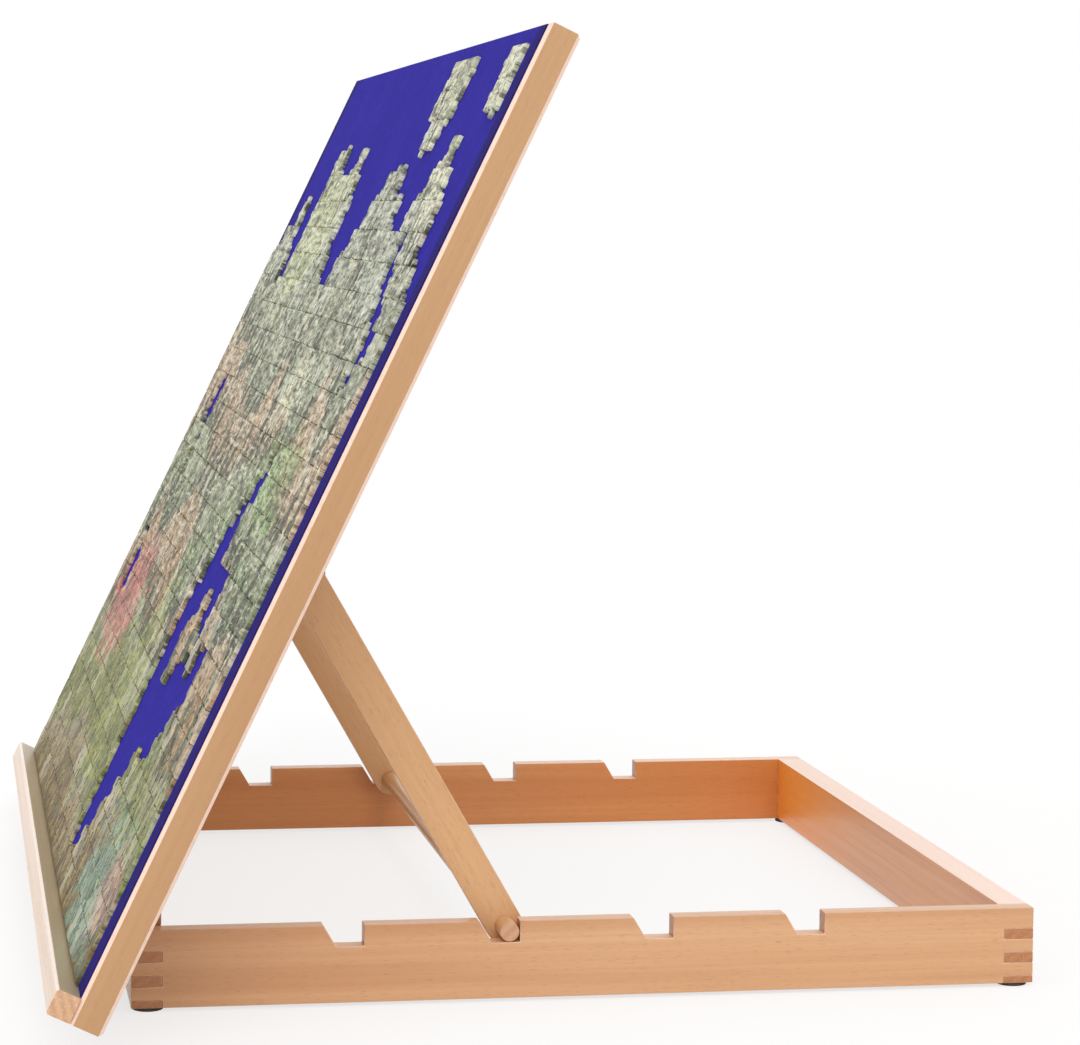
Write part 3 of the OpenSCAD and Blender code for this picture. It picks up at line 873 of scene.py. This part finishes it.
def eased_copy(node: bpy.types.Object, name: str, width: float, shortest: float) -> bpy.types.Object:
    """Copies a CAD node and eases its edges, as sanding does.

    Args:
        node: The CAD node.
        name: Name of the copy.
        width: Width of the eased edge.
        shortest: Edges shorter than this, such as those round a small hole, stay as they are.

    Returns:
        The copy.
    """
    bm = welded(node)
    bmesh.ops.dissolve_limit(bm, angle_limit=FLAT_ANGLE, verts=bm.verts, edges=bm.edges)
    edges = [edge for edge in bm.edges if len(edge.link_faces) == 2
             and edge.calc_face_angle(0.0) > CORNER_ANGLE and edge.calc_length() > shortest]
    bmesh.ops.bevel(bm, geom=edges, offset=width, segments=2, profile=0.5,
                    affect="EDGES", clamp_overlap=False)
    piece = new_object(name, finish_mesh(bm, name))
    piece.modifiers.new("Even shading", "WEIGHTED_NORMAL").keep_sharp = True
    return piece


def loose_parts(node: bpy.types.Object) -> list[list[Vector]]:
    """Splits the points of a CAD node into its separate solids, in the order of its mesh.

    Args:
        node: The node.

    Returns:
        The points of each solid.
    """
    bm = welded(node)
    seen, parts = set(), []
    for first in bm.verts:
        if first in seen:
            continue
        seen.add(first)
        stack, part = [first], []
        while stack:
            vert = stack.pop()
            part.append(vert.co.copy())
            others = [edge.other_vert(vert) for edge in vert.link_edges]
            fresh = [other for other in others if other not in seen]
            seen.update(fresh)
            stack += fresh
        parts.append(part)
    bm.free()
    return parts


@dataclass
class Turned:
    """A solid made of rings round an axis, such as a screw or a nut."""

    centre: Vector
    axis: Vector
    start: Vector
    angles: list[float]

    def ring(self, radius: float | list[float], height: float | list[float]) -> list[Vector]:
        """Places one ring of points.

        Args:
            radius: Distance from the axis, for all points or for each.
            height: Distance along the axis, for all points or for each.

        Returns:
            The points.
        """
        across = self.axis.cross(self.start)
        many = len(self.angles)
        radii = radius if isinstance(radius, list) else [radius] * many
        heights = height if isinstance(height, list) else [height] * many
        return [self.centre + self.axis * h + (self.start * math.cos(a) + across * math.sin(a)) * r
                for a, r, h in zip(self.angles, radii, heights)]

    @staticmethod
    def close(bm: bmesh.types.BMesh, rings: list[list[Vector]], looped: bool) -> None:
        """Joins the rings with faces.

        Args:
            bm: The bmesh.
            rings: The rings in order.
            looped: Whether the last ring joins the first, instead of both having a cap.
        """
        made = [[bm.verts.new(point) for point in ring] for ring in rings]
        for lower, upper in zip(made, made[1:] + (made[:1] if looped else [])):
            for k in range(len(lower)):
                after = (k + 1) % len(lower)
                bm.faces.new((lower[k], lower[after], upper[after], upper[k]))
        if not looped:
            bm.faces.new(made[0])
            bm.faces.new(made[-1])


class Way(Enum):
    """Where the grain or the length of a piece runs."""

    BASE = auto()
    ACROSS = auto()
    UP_BOARD = auto()
    ACROSS_BOARD = auto()
    ARM = auto()


@dataclass
class Workshop:
    """What every sub-assembly needs: the frame's nodes, the board's axes and the list of made pieces."""

    nodes: dict[str, bpy.types.Object]
    board: BoardFrame
    arm: Vector
    made: list[str] = field(default_factory=list)

    def grain(self, way: Way) -> Axes:
        """Returns the directions of a piece whose grain or length runs one way."""
        out = tuple(self.board.out)
        return {
            Way.BASE: Axes(), Way.ACROSS: Axes(SIDEWAYS), Way.UP_BOARD: Axes(tuple(self.board.up), out),
            Way.ACROSS_BOARD: Axes(SIDEWAYS, out),
            Way.ARM: Axes(tuple(self.arm), (self.arm.z, 0, -self.arm.x)),
        }[way]

    def report(self, piece: bpy.types.Object) -> None:
        """Adds one piece to the list of made pieces.

        Args:
            piece: The piece.
        """
        self.made.append(piece.name)

    def fit(self, piece: bpy.types.Object, slot: str, material: bpy.types.Material, *replaced: str) -> None:
        """Puts a piece in the place of CAD nodes, on their body, with its material.

        Args:
            piece: The piece.
            slot: The record's material slot; not used.
            material: Its material.
            replaced: The CAD nodes that it stands for.
        """
        piece.data.materials.append(material)
        body = self.nodes[replaced[0]]["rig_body"]
        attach(piece, body)
        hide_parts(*replaced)
        self.report(piece)

    def ease(self, node: str, slot: str, finish: Finish, width: float, way: Way = Way.BASE,
             shortest: float = SHORT_EDGE, **details: float) -> None:
        """Replaces one CAD node with its copy with eased edges.

        Args:
            node: The CAD node.
            slot: The record's material slot.
            finish: The finish.
            width: Width of the eased edges.
            way: Where its grain or length runs.
            shortest: Edges shorter than this stay as they are.
            details: What the finish still needs, such as the seed of its grain.
        """
        suffix = "_wood" if "beech" in slot or slot == "plywood" else "_piece"
        piece = eased_copy(self.nodes[node], node + suffix, width, shortest)
        self.fit(piece, slot, finish.dress(node, self.grain(way), **details), node)


@dataclass
class Base:
    """The open base frame: notched side rails, cross rails, packer and feet."""

    shop: Workshop
    edge: float = 0.5 * MM
    foot_edge: float = 0.4 * MM
    seed: float = 1.3

    def build(self) -> None:
        """Dresses every piece of the base."""
        rails = (
            ("base_near_rail", Way.BASE, Finish.BASE_BEECH), ("base_far_rail", Way.BASE, Finish.SHADED_BEECH),
            ("base_hinge_rail", Way.ACROSS, Finish.BASE_BEECH),
            ("base_end_rail", Way.ACROSS, Finish.END_BEECH),
            ("hinge_packer", Way.ACROSS, Finish.BASE_BEECH))
        for count, (node, way, finish) in enumerate(rails):
            self.shop.ease(node, "base_beech", finish, self.edge, way, seed=count + self.seed)
        for node in ("near_hinge_foot", "far_hinge_foot", "near_end_foot", "far_end_foot"):
            self.shop.ease(node, "foot_rubber", Finish.RUBBER, self.foot_edge, shortest=SHORT_ROUND_EDGE)


@dataclass
class Board:
    """The tilting board: plywood panel, strips, battens and ledge."""

    shop: Workshop
    edge: float = 0.3 * MM
    seed: float = 11.7
    panel_seed: float = 21.1
    ledge_seed: float = 23.9

    def build(self) -> None:
        """Dresses every wooden piece of the board."""
        strips = (
            ("near_edge_strip", Way.UP_BOARD), ("far_edge_strip", Way.UP_BOARD),
            ("top_edge_strip", Way.ACROSS_BOARD), ("hinge_batten", Way.ACROSS_BOARD),
            ("pivot_batten", Way.ACROSS_BOARD))
        for count, (node, way) in enumerate(strips):
            self.shop.ease(node, "board_beech", Finish.BOARD_BEECH, self.edge, way, seed=count + self.seed)
        way = Way.ACROSS_BOARD
        self.shop.ease("board_panel", "plywood", Finish.PLYWOOD, self.edge, way, seed=self.panel_seed)
        self.shop.ease("ledge", "board_beech", Finish.LIT_LEDGE_BEECH, self.edge, way, seed=self.ledge_seed)


@dataclass
class Cloth:
    """The felt, one cut sheet glued over the front of the board."""

    shop: Workshop
    step: float = 9 * MM
    ripple: float = 0.05 * MM
    rims: tuple[float, ...] = (0.0, 0.12, 0.35, 0.65, 1.0)
    rim_rise: float = 0.25
    crisp: float = 50.0
    seed: int = 5

    def lines(self, low: float, high: float, thick: float) -> list[Point]:
        """Places the grid lines along one side of the cloth, close together where its edge rounds over.

        Args:
            low: Where the side starts.
            high: Where the side ends.
            thick: Thickness of the cloth.

        Returns:
            Each line's place and how far it is from the nearer end, as a share of the thickness.
        """
        length = high - low - 2 * thick
        count = max(2, round(length / self.step))
        near = [(low + share * thick, share) for share in self.rims]
        inner = [(low + thick + length * k / count, 1.0) for k in range(1, count)]
        far = [(high - share * thick, share) for share in reversed(self.rims)]
        return near + inner + far

    def build(self) -> None:
        board = self.shop.board
        (low_u, high_u), (low_y, high_y), (low_w, high_w) = board.extent(self.shop.nodes["felt_surface"])
        thick = high_w - low_w
        draw = random.Random(self.seed)
        bm = bmesh.new()
        top, bottom = [], []
        for u, share_u in self.lines(low_u, high_u, thick):
            upper, lower = [], []
            for y, share_y in self.lines(low_y, high_y, thick):
                share = min(share_u, share_y)
                curve = math.sqrt(max(0.0, 1 - (1 - share) ** 2))
                rise = self.rim_rise + (1 - self.rim_rise) * curve
                lift = -draw.random() * self.ripple if share == 1.0 else 0.0
                upper.append(bm.verts.new(board.place(u, y, low_w + thick * rise + lift)))
                lower.append(bm.verts.new(board.place(u, y, low_w)))
            top.append(upper)
            bottom.append(lower)
        self.skin(bm, top)
        self.skin(bm, bottom)
        for rows, twins in ((top, bottom), (list(zip(*top)), list(zip(*bottom)))):
            for end in (0, -1):
                self.skin(bm, [rows[end], twins[end]])
        bmesh.ops.recalc_face_normals(bm, faces=bm.faces)
        piece = new_object("felt_cloth", finish_mesh(bm, "felt_cloth", self.crisp))
        self.shop.fit(piece, "violet_felt", Finish.FELT.dress("cloth", half_width=high_y), "felt_surface")

    @staticmethod
    def skin(bm: bmesh.types.BMesh, rows: list[list[bmesh.types.BMVert]]) -> None:
        """Closes a grid of points with faces.

        Args:
            bm: The bmesh.
            rows: The grid's points, row by row.
        """
        for low, high in zip(rows, rows[1:]):
            for c in range(len(low) - 1):
                bm.faces.new((low[c], low[c + 1], high[c + 1], high[c]))


@dataclass(frozen=True)
class Patch:
    """A patch of pieces: its first column, and where the rows of each column start and end."""

    first: int
    low: tuple[int, ...]
    high: tuple[int, ...]

    def covers(self, column: int, row: int) -> bool:
        """Tells whether a piece lies in the patch."""
        step = column - self.first
        return 0 <= step < len(self.low) and self.low[step] <= row < self.high[step]

    def cells(self) -> list[tuple[int, int]]:
        """Returns the column and row of each piece of the patch."""
        spans = enumerate(zip(self.low, self.high))
        return [(self.first + k, r) for k, (low, high) in spans for r in range(low, high)]


@dataclass
class Puzzle:
    """The part-laid jigsaw: interlocking card pieces in one large field and three loose islands.

    Each column is laid up to laid_rows plus its own number in skyline, apart from the gaps. The sizes
    of knob and neck are shares of a piece.
    """

    shop: Workshop
    cols: int = 38
    rows: int = 27
    cell: float = 18 * MM
    laid_rows: int = 20
    skyline: tuple[int, ...] = (
        0, 1, 3, 4, 5, 4, 3, 2, 2, 2, 3, 3, 4, 4, 4, 3, 2, 1, 0,
        0, 0, 1, 3, 4, 5, 4, 4, 4, 4, 5, 5, 0, -2, 1, 3, 2, 2, 1)
    gaps: tuple[Patch, ...] = (
        Patch(5, (7, 6, 5, 5, 5, 4, 3, 2, 1, 1), (9, 9, 8, 11, 11, 11, 14, 13, 12, 10)),
        Patch(10, (13, 13), (15, 14)), Patch(2, (18, 17, 19, 20), (19, 20, 21, 22)),
        Patch(33, (12, 14), (16, 16)), Patch(34, (7, 7), (9, 10)))
    near_island: Patch = Patch(0, (25, 25), (27, 27))
    middle_island: Patch = Patch(9, (8, 8, 7), (9, 10, 9))
    far_island: Patch = Patch(8, (25, 24, 24, 25), (27, 27, 27, 27))
    knob_reach: float = 0.24
    knob_half: float = 0.14
    neck_half: float = 0.09
    neck_start: Point = (0.3, -0.015)
    knob_points: int = 7
    cut: float = 0.34 * MM
    round_edge: float = 0.46 * MM
    lift: float = 0.2 * MM
    slant: float = 0.008
    crisp: float = 46.0
    least_turn: float = 0.6
    seed: int = 11
    low_u: float = field(init=False)
    low_y: float = field(init=False)
    felt: float = field(init=False)
    face: float = field(init=False)
    draw: random.Random = field(init=False)

    def build(self) -> None:
        """Makes the field and the three islands."""
        place, nodes = self.shop.board.extent, self.shop.nodes
        (self.low_u, _), (self.low_y, _), (self.felt, self.face) = place(nodes["puzzle_field"])
        top_row = place(nodes["puzzle_island_near"])[0][1] - self.rows * self.cell
        self.draw = random.Random(self.seed)
        picture = Finish.PICTURE.dress("puzzle", cols=self.cols, rows=self.rows)
        laid = [(c, r) for c, peak in enumerate(self.skyline) for r in range(self.laid_rows + peak)
                if not any(gap.covers(c, r) for gap in self.gaps)]
        regions = (
            ("puzzle_field", laid, self.low_u), ("puzzle_island_near", self.near_island.cells(), top_row),
            ("puzzle_island_middle", self.middle_island.cells(), self.low_u),
            ("puzzle_island_far", self.far_island.cells(), top_row))
        for node, cells, foot in regions:
            piece = self.region(node + "_pieces", cells, foot)
            self.shop.fit(piece, "puzzle_card", picture, node)
            LOG.info("%s holds %d pieces", node, len(cells))

    @staticmethod
    def knob_way(i: int, j: int, turn: int) -> int:
        """Returns the side to which the knob of an edge points, 1 or -1."""
        return 1 if (5 * i + 3 * j + i * j + turn) % 4 < 2 else -1

    def knob(self) -> list[Point]:
        """Walks along one edge, from 0 to 1: a neck, and a round head that it opens into.

        Returns:
            The points of the knob.
        """
        middle = self.knob_reach - self.knob_half
        start = math.pi + math.acos(self.neck_half / self.knob_half)
        turn = (2 * start - math.pi) / (self.knob_points - 1)
        angles = [start - k * turn for k in range(self.knob_points)]
        head = [(0.5 + self.knob_half * math.cos(a), middle + self.knob_half * math.sin(a)) for a in angles]
        place, depth = self.neck_start
        return [(place, depth), *head, (1 - place, depth)]

    def outline(self, c: int, r: int) -> list[Point]:
        """Walks round one piece, with the knobs and sockets of its four edges.

        Args:
            c: Its column.
            r: Its row.

        Returns:
            Its outline in pieces, with its inside to the left.
        """
        knob = self.knob()
        points = [(c, r)]
        if r > 0:
            points += [(c + t, r + self.knob_way(c, r, 0) * n) for t, n in knob]
        points.append((c + 1, r))
        if c + 1 < self.cols:
            points += [(c + 1 + self.knob_way(c + 1, r, 1) * n, r + t) for t, n in knob]
        points.append((c + 1, r + 1))
        if r + 1 < self.rows:
            points += [(c + t, r + 1 + self.knob_way(c, r + 1, 0) * n) for t, n in reversed(knob)]
        points.append((c, r + 1))
        if c > 0:
            points += [(c + self.knob_way(c, r, 1) * n, r + t) for t, n in reversed(knob)]
        return points

    def drawn_in(self, points: list[Point], step: float) -> list[Point]:
        """Moves an outline inwards.

        Args:
            points: The outline, with its inside to the left.
            step: How far each side moves.

        Returns:
            The smaller outline.
        """
        moved = []
        for k, (x, y) in enumerate(points):
            x0, y0 = points[k - 1]
            x1, y1 = points[(k + 1) % len(points)]
            before = Vector((y0 - y, x - x0)).normalized()
            after = Vector((y - y1, x1 - x)).normalized()
            way = (before + after).normalized()
            way = way / max(self.least_turn, math.cos(before.angle(after, 0.0) / 2))
            moved.append((x + way.x * step, y + way.y * step))
        return moved

    def region(self, name: str, cells: list[tuple[int, int]], foot: float) -> bpy.types.Object:
        """Makes one object of many interlocking pieces, whose printed faces are shaded flat.

        Args:
            name: Name of the object.
            cells: Column and row of each piece.
            foot: How far up the board the grid's first row starts.

        Returns:
            The object, with a UV map that spans the whole puzzle.
        """
        bm = bmesh.new()
        uv = bm.loops.layers.uv.new("Picture")
        prints = [self.add_piece(bm, uv, c, r, foot) for c, r in cells]
        bmesh.ops.recalc_face_normals(bm, faces=bm.faces)
        mesh = finish_mesh(bm, name, self.crisp)
        for index in prints:
            mesh.polygons[index].use_smooth = False
        return new_object(name, mesh)

    def add_piece(self, bm: bmesh.types.BMesh, uv: bmesh.types.BMLayerItem,
                  c: int, r: int, foot: float) -> int:
        """Adds one piece: a cut wall, an edge that the press rounded over, and the printed face.

        Args:
            bm: The bmesh.
            uv: Its UV layer.
            c: The piece's column.
            r: The piece's row.
            foot: How far up the board the grid's first row starts.

        Returns:
            The number of the printed face, which is the last.
        """
        wall = self.drawn_in(self.outline(c, r), self.cut / 2 / self.cell)
        print_edge = self.drawn_in(wall, self.round_edge / self.cell)
        top = self.face + self.draw.uniform(0, self.lift)
        slant_c, slant_r = (self.draw.uniform(-self.slant, self.slant) for _ in range(2))
        levels = ((wall, self.felt, 0), (wall, top - self.round_edge, 1), (print_edge, top, 1))
        rings = []
        for points, height, tilted in levels:
            tips = [((x - c - 0.5) * slant_c + (y - r - 0.5) * slant_r) * self.cell * tilted
                    for x, y in points]
            spots = [self.shop.board.place(foot + y * self.cell, self.low_y + x * self.cell, height + tip)
                     for (x, y), tip in zip(points, tips)]
            rings.append([bm.verts.new(spot) for spot in spots])
        many = len(wall)
        sides = [[(level, k), (level, (k + 1) % many), (level + 1, (k + 1) % many), (level + 1, k)]
                 for level in range(2) for k in range(many)]
        caps = [[(level, k) for k in range(many)] for level in (0, 2)]
        for corners in sides + caps:
            made = bm.faces.new([rings[level][k] for level, k in corners])
            for loop, (level, k) in zip(made.loops, corners):
                x, y = levels[level][0][k]
                loop[uv].uv = (x / self.cols, y / self.rows)
        return len(bm.faces) - 1


@dataclass
class Prop:
    """The prop: two arms with round ends and the dowel that joins them."""

    shop: Workshop
    edge: float = 0.6 * MM
    shortest: float = 0.9 * MM
    dowel_edge: float = 0.5 * MM
    seed: float = 31.9
    dowel_seed: float = 37.3

    def build(self) -> None:
        """Dresses the arms and the dowel."""
        for count, node in enumerate(("near_arm", "far_arm")):
            self.shop.ease(node, "prop_beech", Finish.PROP_BEECH, self.edge, Way.ARM, self.shortest,
                           seed=count + self.seed)
        self.shop.ease("prop_dowel", "prop_beech", Finish.DOWEL_BEECH, self.dowel_edge, Way.ACROSS,
                       SHORT_ROUND_EDGE, seed=self.dowel_seed)


@dataclass
class Hardware:
    """Butt hinges with their pins and screws, and the pivots with their blocks, bolts and nuts."""

    shop: Workshop
    leaf_edge: float = 0.15 * MM
    block_edge: float = 0.5 * MM
    block_seed: float = 41.3
    bolt_edge: float = 0.4 * MM
    recess_reach: float = 0.62
    recess_half: float = 0.17
    recess_taper: float = 0.8
    recess_depth: float = 1.1 * MM
    screw_tip: float = 0.25 * MM
    level: float = 0.01 * MM
    nut_sides: int = 6
    nut_steps: int = 6
    nut_slope: float = math.tan(math.radians(30))
    nut_chamfer: float = 0.6 * MM

    def build(self) -> None:
        """Dresses the metal pieces and the pivot blocks."""
        for node in ("near_base_leaf", "far_base_leaf", "near_hinge_pin", "far_hinge_pin"):
            self.shop.ease(node, "hinge_brass", Finish.HINGE_BRASS, self.leaf_edge, Way.ACROSS)
        for node in ("near_board_leaf", "far_board_leaf"):
            self.shop.ease(node, "hinge_brass", Finish.HINGE_BRASS, self.leaf_edge, Way.ACROSS_BOARD)
        for node in ("near_pivot_bolt", "far_pivot_bolt"):
            self.shop.ease(node, "bolt_steel", Finish.ZINC, self.bolt_edge, Way.ACROSS, SHORT_ROUND_EDGE)
        self.make_nuts("pivot_nuts", Way.ACROSS)
        self.make_screws("base_leaf_screws", Vector(UPWARDS), Way.ACROSS)
        self.make_screws("board_leaf_screws", -self.shop.board.out, Way.ACROSS_BOARD)
        for count, node in enumerate(("near_pivot_block", "far_pivot_block")):
            self.shop.ease(node, "board_beech", Finish.BLOCK_BEECH, self.block_edge, Way.UP_BOARD,
                           seed=count + self.block_seed)

    def recess(self) -> list[Point]:
        """Walks round a screw's cross recess, with the radius of the head as 1.

        Returns:
            The corners of the cross and the middles between them.
        """
        reach, half = self.recess_reach, self.recess_half
        points = []
        for quarter in range(4):
            turn = Matrix.Rotation(quarter * math.pi / 2, 2)
            points += [turn @ Vector(corner) for corner in ((reach, -half), (reach, half), (half, half))]
        middles = [(point + points[(k + 1) % len(points)]) / 2 for k, point in enumerate(points)]
        return [tuple(point) for pair in zip(points, middles) for point in pair]

    def make_screws(self, node: str, out: Vector, way: Way) -> None:
        """Makes the screws of a node, with a cross recess in each head.

        Args:
            node: The CAD node.
            out: The direction that the heads look.
            way: Where the brushed lines run.
        """
        outline = self.recess()
        angles = [math.atan2(y, x) for x, y in outline]
        reach = [math.hypot(x, y) for x, y in outline]
        bm = bmesh.new()
        for part in loose_parts(self.shop.nodes[node]):
            heights = [point.dot(out) for point in part]
            top, tip = max(heights), min(heights)
            rim = [point for point, height in zip(part, heights) if height > top - self.level]
            foot = [point for point, height in zip(part, heights) if height < tip + self.level]
            middle = sum(rim, Vector()) / len(rim)
            end = middle - out * (top - tip)
            head = max((point - middle).length for point in rim)
            shank = max((point - end).length for point in foot)
            screw = Turned(middle, out, Vector(SIDEWAYS), angles)
            screw.close(bm, [
                screw.ring(self.screw_tip, tip - top), screw.ring(shank, tip - top + 2 * shank),
                screw.ring(shank, shank - head), screw.ring(head, 0.0),
                screw.ring([head * r for r in reach], 0.0),
                screw.ring([head * r * self.recess_taper for r in reach], -self.recess_depth)], False)
        self.finish(bm, node, "screw_brass", Finish.SCREW_BRASS, way)

    def make_nuts(self, node: str, way: Way) -> None:
        """Makes the nuts, whose corners are turned down at both ends.

        Args:
            node: The CAD node.
            way: Where the brushed lines run.
        """
        side = math.tau / self.nut_sides
        angles = [k * side / self.nut_steps for k in range(self.nut_sides * self.nut_steps)]
        bm = bmesh.new()
        for part in loose_parts(self.shop.nodes[node]):
            low, high = min(point.y for point in part), max(point.y for point in part)
            middle = sum(part, Vector()) / len(part)
            middle.y = low
            spokes = [Vector((point.x - middle.x, 0, point.z - middle.z)) for point in part]
            corner = max(spokes, key=lambda spoke: spoke.length)
            bore = min(spoke.length for spoke in spokes)
            flat = corner.length * math.cos(side / 2)
            outer = [flat / math.cos(angle % side - side / 2) for angle in angles]
            drop = [(r - flat) * self.nut_slope for r in outer]
            tall = high - low
            nut = Turned(middle, Vector(SIDEWAYS), corner.normalized(), angles)
            nut.close(bm, [
                nut.ring(flat, 0.0), nut.ring(outer, drop), nut.ring(outer, [tall - d for d in drop]),
                nut.ring(flat, tall), nut.ring(bore + self.nut_chamfer, tall),
                nut.ring(bore, tall - self.nut_chamfer), nut.ring(bore, 0.0)], True)
        self.finish(bm, node, "bolt_steel", Finish.ZINC, way)

    def finish(self, bm: bmesh.types.BMesh, node: str, slot: str, finish: Finish, way: Way) -> None:
        """Puts new metal pieces in the place of their CAD node.

        Args:
            bm: The pieces' faces.
            node: The CAD node.
            slot: The record's material slot.
            finish: The metal.
            way: Where the brushed lines run.
        """
        bmesh.ops.recalc_face_normals(bm, faces=bm.faces)
        piece = new_object(node + "_turned", finish_mesh(bm, node))
        self.shop.fit(piece, slot, finish.dress(node, self.shop.grain(way)), node)


@dataclass(frozen=True)
class PhotoCamera:
    """The camera, low and in front of the base, as the photograph has it."""

    place: Triple = (-0.3096, -1.8884, 0.4068)
    turn: Triple = (87.01, -0.46, -8.89)
    photo_px: int = 1080
    focal_px: float = 3281.0
    sensor_mm: float = 36.0
    shift: Point = (0.08, -0.13)

    def build(self) -> None:
        """Makes the scene's camera."""
        data = bpy.data.cameras.new("photo camera")
        data.sensor_fit = "HORIZONTAL"
        data.sensor_width = self.sensor_mm
        data.lens = self.focal_px / self.photo_px * self.sensor_mm
        data.shift_x, data.shift_y = self.shift
        camera = new_object("photo camera", data)
        camera.location = self.place
        camera.rotation_euler = [math.radians(angle) for angle in self.turn]
        bpy.context.scene.camera = camera


@dataclass(frozen=True)
class Sun:
    """One soft distant lamp: its strength, how wide it looks in degrees, and where it shines from."""

    name: str
    strength: float
    angle: float
    source: Triple

    def build(self) -> None:
        """Makes the lamp."""
        data = bpy.data.lights.new(self.name, "SUN")
        data.energy = self.strength
        data.angle = math.radians(self.angle)
        lamp = new_object(self.name, data)
        lamp.rotation_euler = Vector(self.source).to_track_quat("Z", "Y").to_euler()


@dataclass(frozen=True)
class Studio:
    """A plain pale floor, a white surround and soft even light."""

    floor_radius: float = 14.0
    floor_sides: int = 96
    floor_colour: Colour = srgb(238, 238, 238)
    near_lift: float = 0.72
    lift_start: float = 0.9
    lift_end: float = 2.2
    sky: float = 0.76
    suns: tuple[Sun, ...] = (
        Sun("key", 1.3, 38.0, (-0.1, -0.95, 0.8)), Sun("fill", 0.6, 60.0, (-0.8, -0.4, 0.9)),
        Sun("back", 0.55, 60.0, (0.9, 0.5, 0.45)))

    def build(self) -> None:
        """Makes the floor, the lamps and the world."""
        self.make_floor()
        for sun in self.suns:
            sun.build()
        self.make_world()
        bpy.context.scene.view_settings.view_transform = "Standard"

    @staticmethod
    def unlit_rays(graph: Graph) -> Socket:
        """Finds the rays that see the surround itself, also in a reflection or through glass.

        Args:
            graph: The graph of the floor or the world.

        Returns:
            1 for such rays and 0 for others.
        """
        rays = graph.add("LightPath").outputs
        seen = graph.math("MAXIMUM", rays["Is Camera Ray"], rays["Is Glossy Ray"])
        return graph.math("MAXIMUM", seen, rays["Is Transmission Ray"])

    def make_floor(self) -> None:
        """Makes a wide round floor that keeps the object's shadow and turns plain white further out."""
        bm = bmesh.new()
        bmesh.ops.create_circle(bm, cap_ends=True, segments=self.floor_sides, radius=self.floor_radius)
        mesh = bpy.data.meshes.new("studio floor")
        bm.to_mesh(mesh)
        bm.free()
        floor = new_object("studio_floor", mesh)
        material = bpy.data.materials.new("studio floor")
        graph = Graph.of(material)
        paint = graph.add("BsdfDiffuse", {"Color": self.floor_colour})
        white = graph.add("Emission", {"Color": WHITE, "Strength": 1.0})
        away = graph.vector("LENGTH", graph.add("TexCoord").outputs["Object"])
        lift = graph.span(away, self.lift_start, self.lift_end, self.near_lift, 1.0)
        share = graph.times(lift, self.unlit_rays(graph))
        mixed = graph.add("MixShader", {0: share, 1: paint.outputs[0], 2: white.outputs[0]})
        graph.add("OutputMaterial", {"Surface": mixed.outputs[0]})
        floor.data.materials.append(material)

    def make_world(self) -> None:
        """Makes the even light from all round, and the white that the camera sees."""
        world = bpy.data.worlds.new("studio")
        graph = Graph.of(world)
        lit = graph.add("Background", {"Color": WHITE, "Strength": self.sky})
        seen = graph.add("Background", {"Color": WHITE, "Strength": 1.0})
        mixed = graph.add("MixShader", {0: self.unlit_rays(graph), 1: lit.outputs[0], 2: seen.outputs[0]})
        graph.add("OutputWorld", {"Surface": mixed.outputs[0]})
        bpy.context.scene.world = world


def corners(box: tuple[Vector, Vector]) -> list[list[float]]:
    """Returns a box's two corners as plain lists."""
    return [list(corner) for corner in box]


def main() -> None:
    """Loads the frame, dresses every sub-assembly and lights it."""
    logging.basicConfig(level=logging.INFO, format="%(name)s: %(message)s")
    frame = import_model()
    places = {joint["name"]: Vector(joint["pos_m"]) for joint in frame["joints"]}
    pivot = places["prop_hinge"]
    board = BoardFrame.from_pivots(places["board_hinge"], pivot)
    low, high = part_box("prop_dowel")
    dowel = (low + high) / 2
    shop = Workshop(frame["nodes"], board, Vector((dowel.x - pivot.x, 0, dowel.z - pivot.z)).normalized())
    PhotoCamera().build()
    Studio().build()
    for part in (Base(shop), Board(shop), Cloth(shop), Puzzle(shop), Prop(shop), Hardware(shop)):
        part.build()
    LOG.info("%d pieces dressed", len(shop.made))
    bpy.context.view_layer.update()


if __name__ == "__main__":
    main()
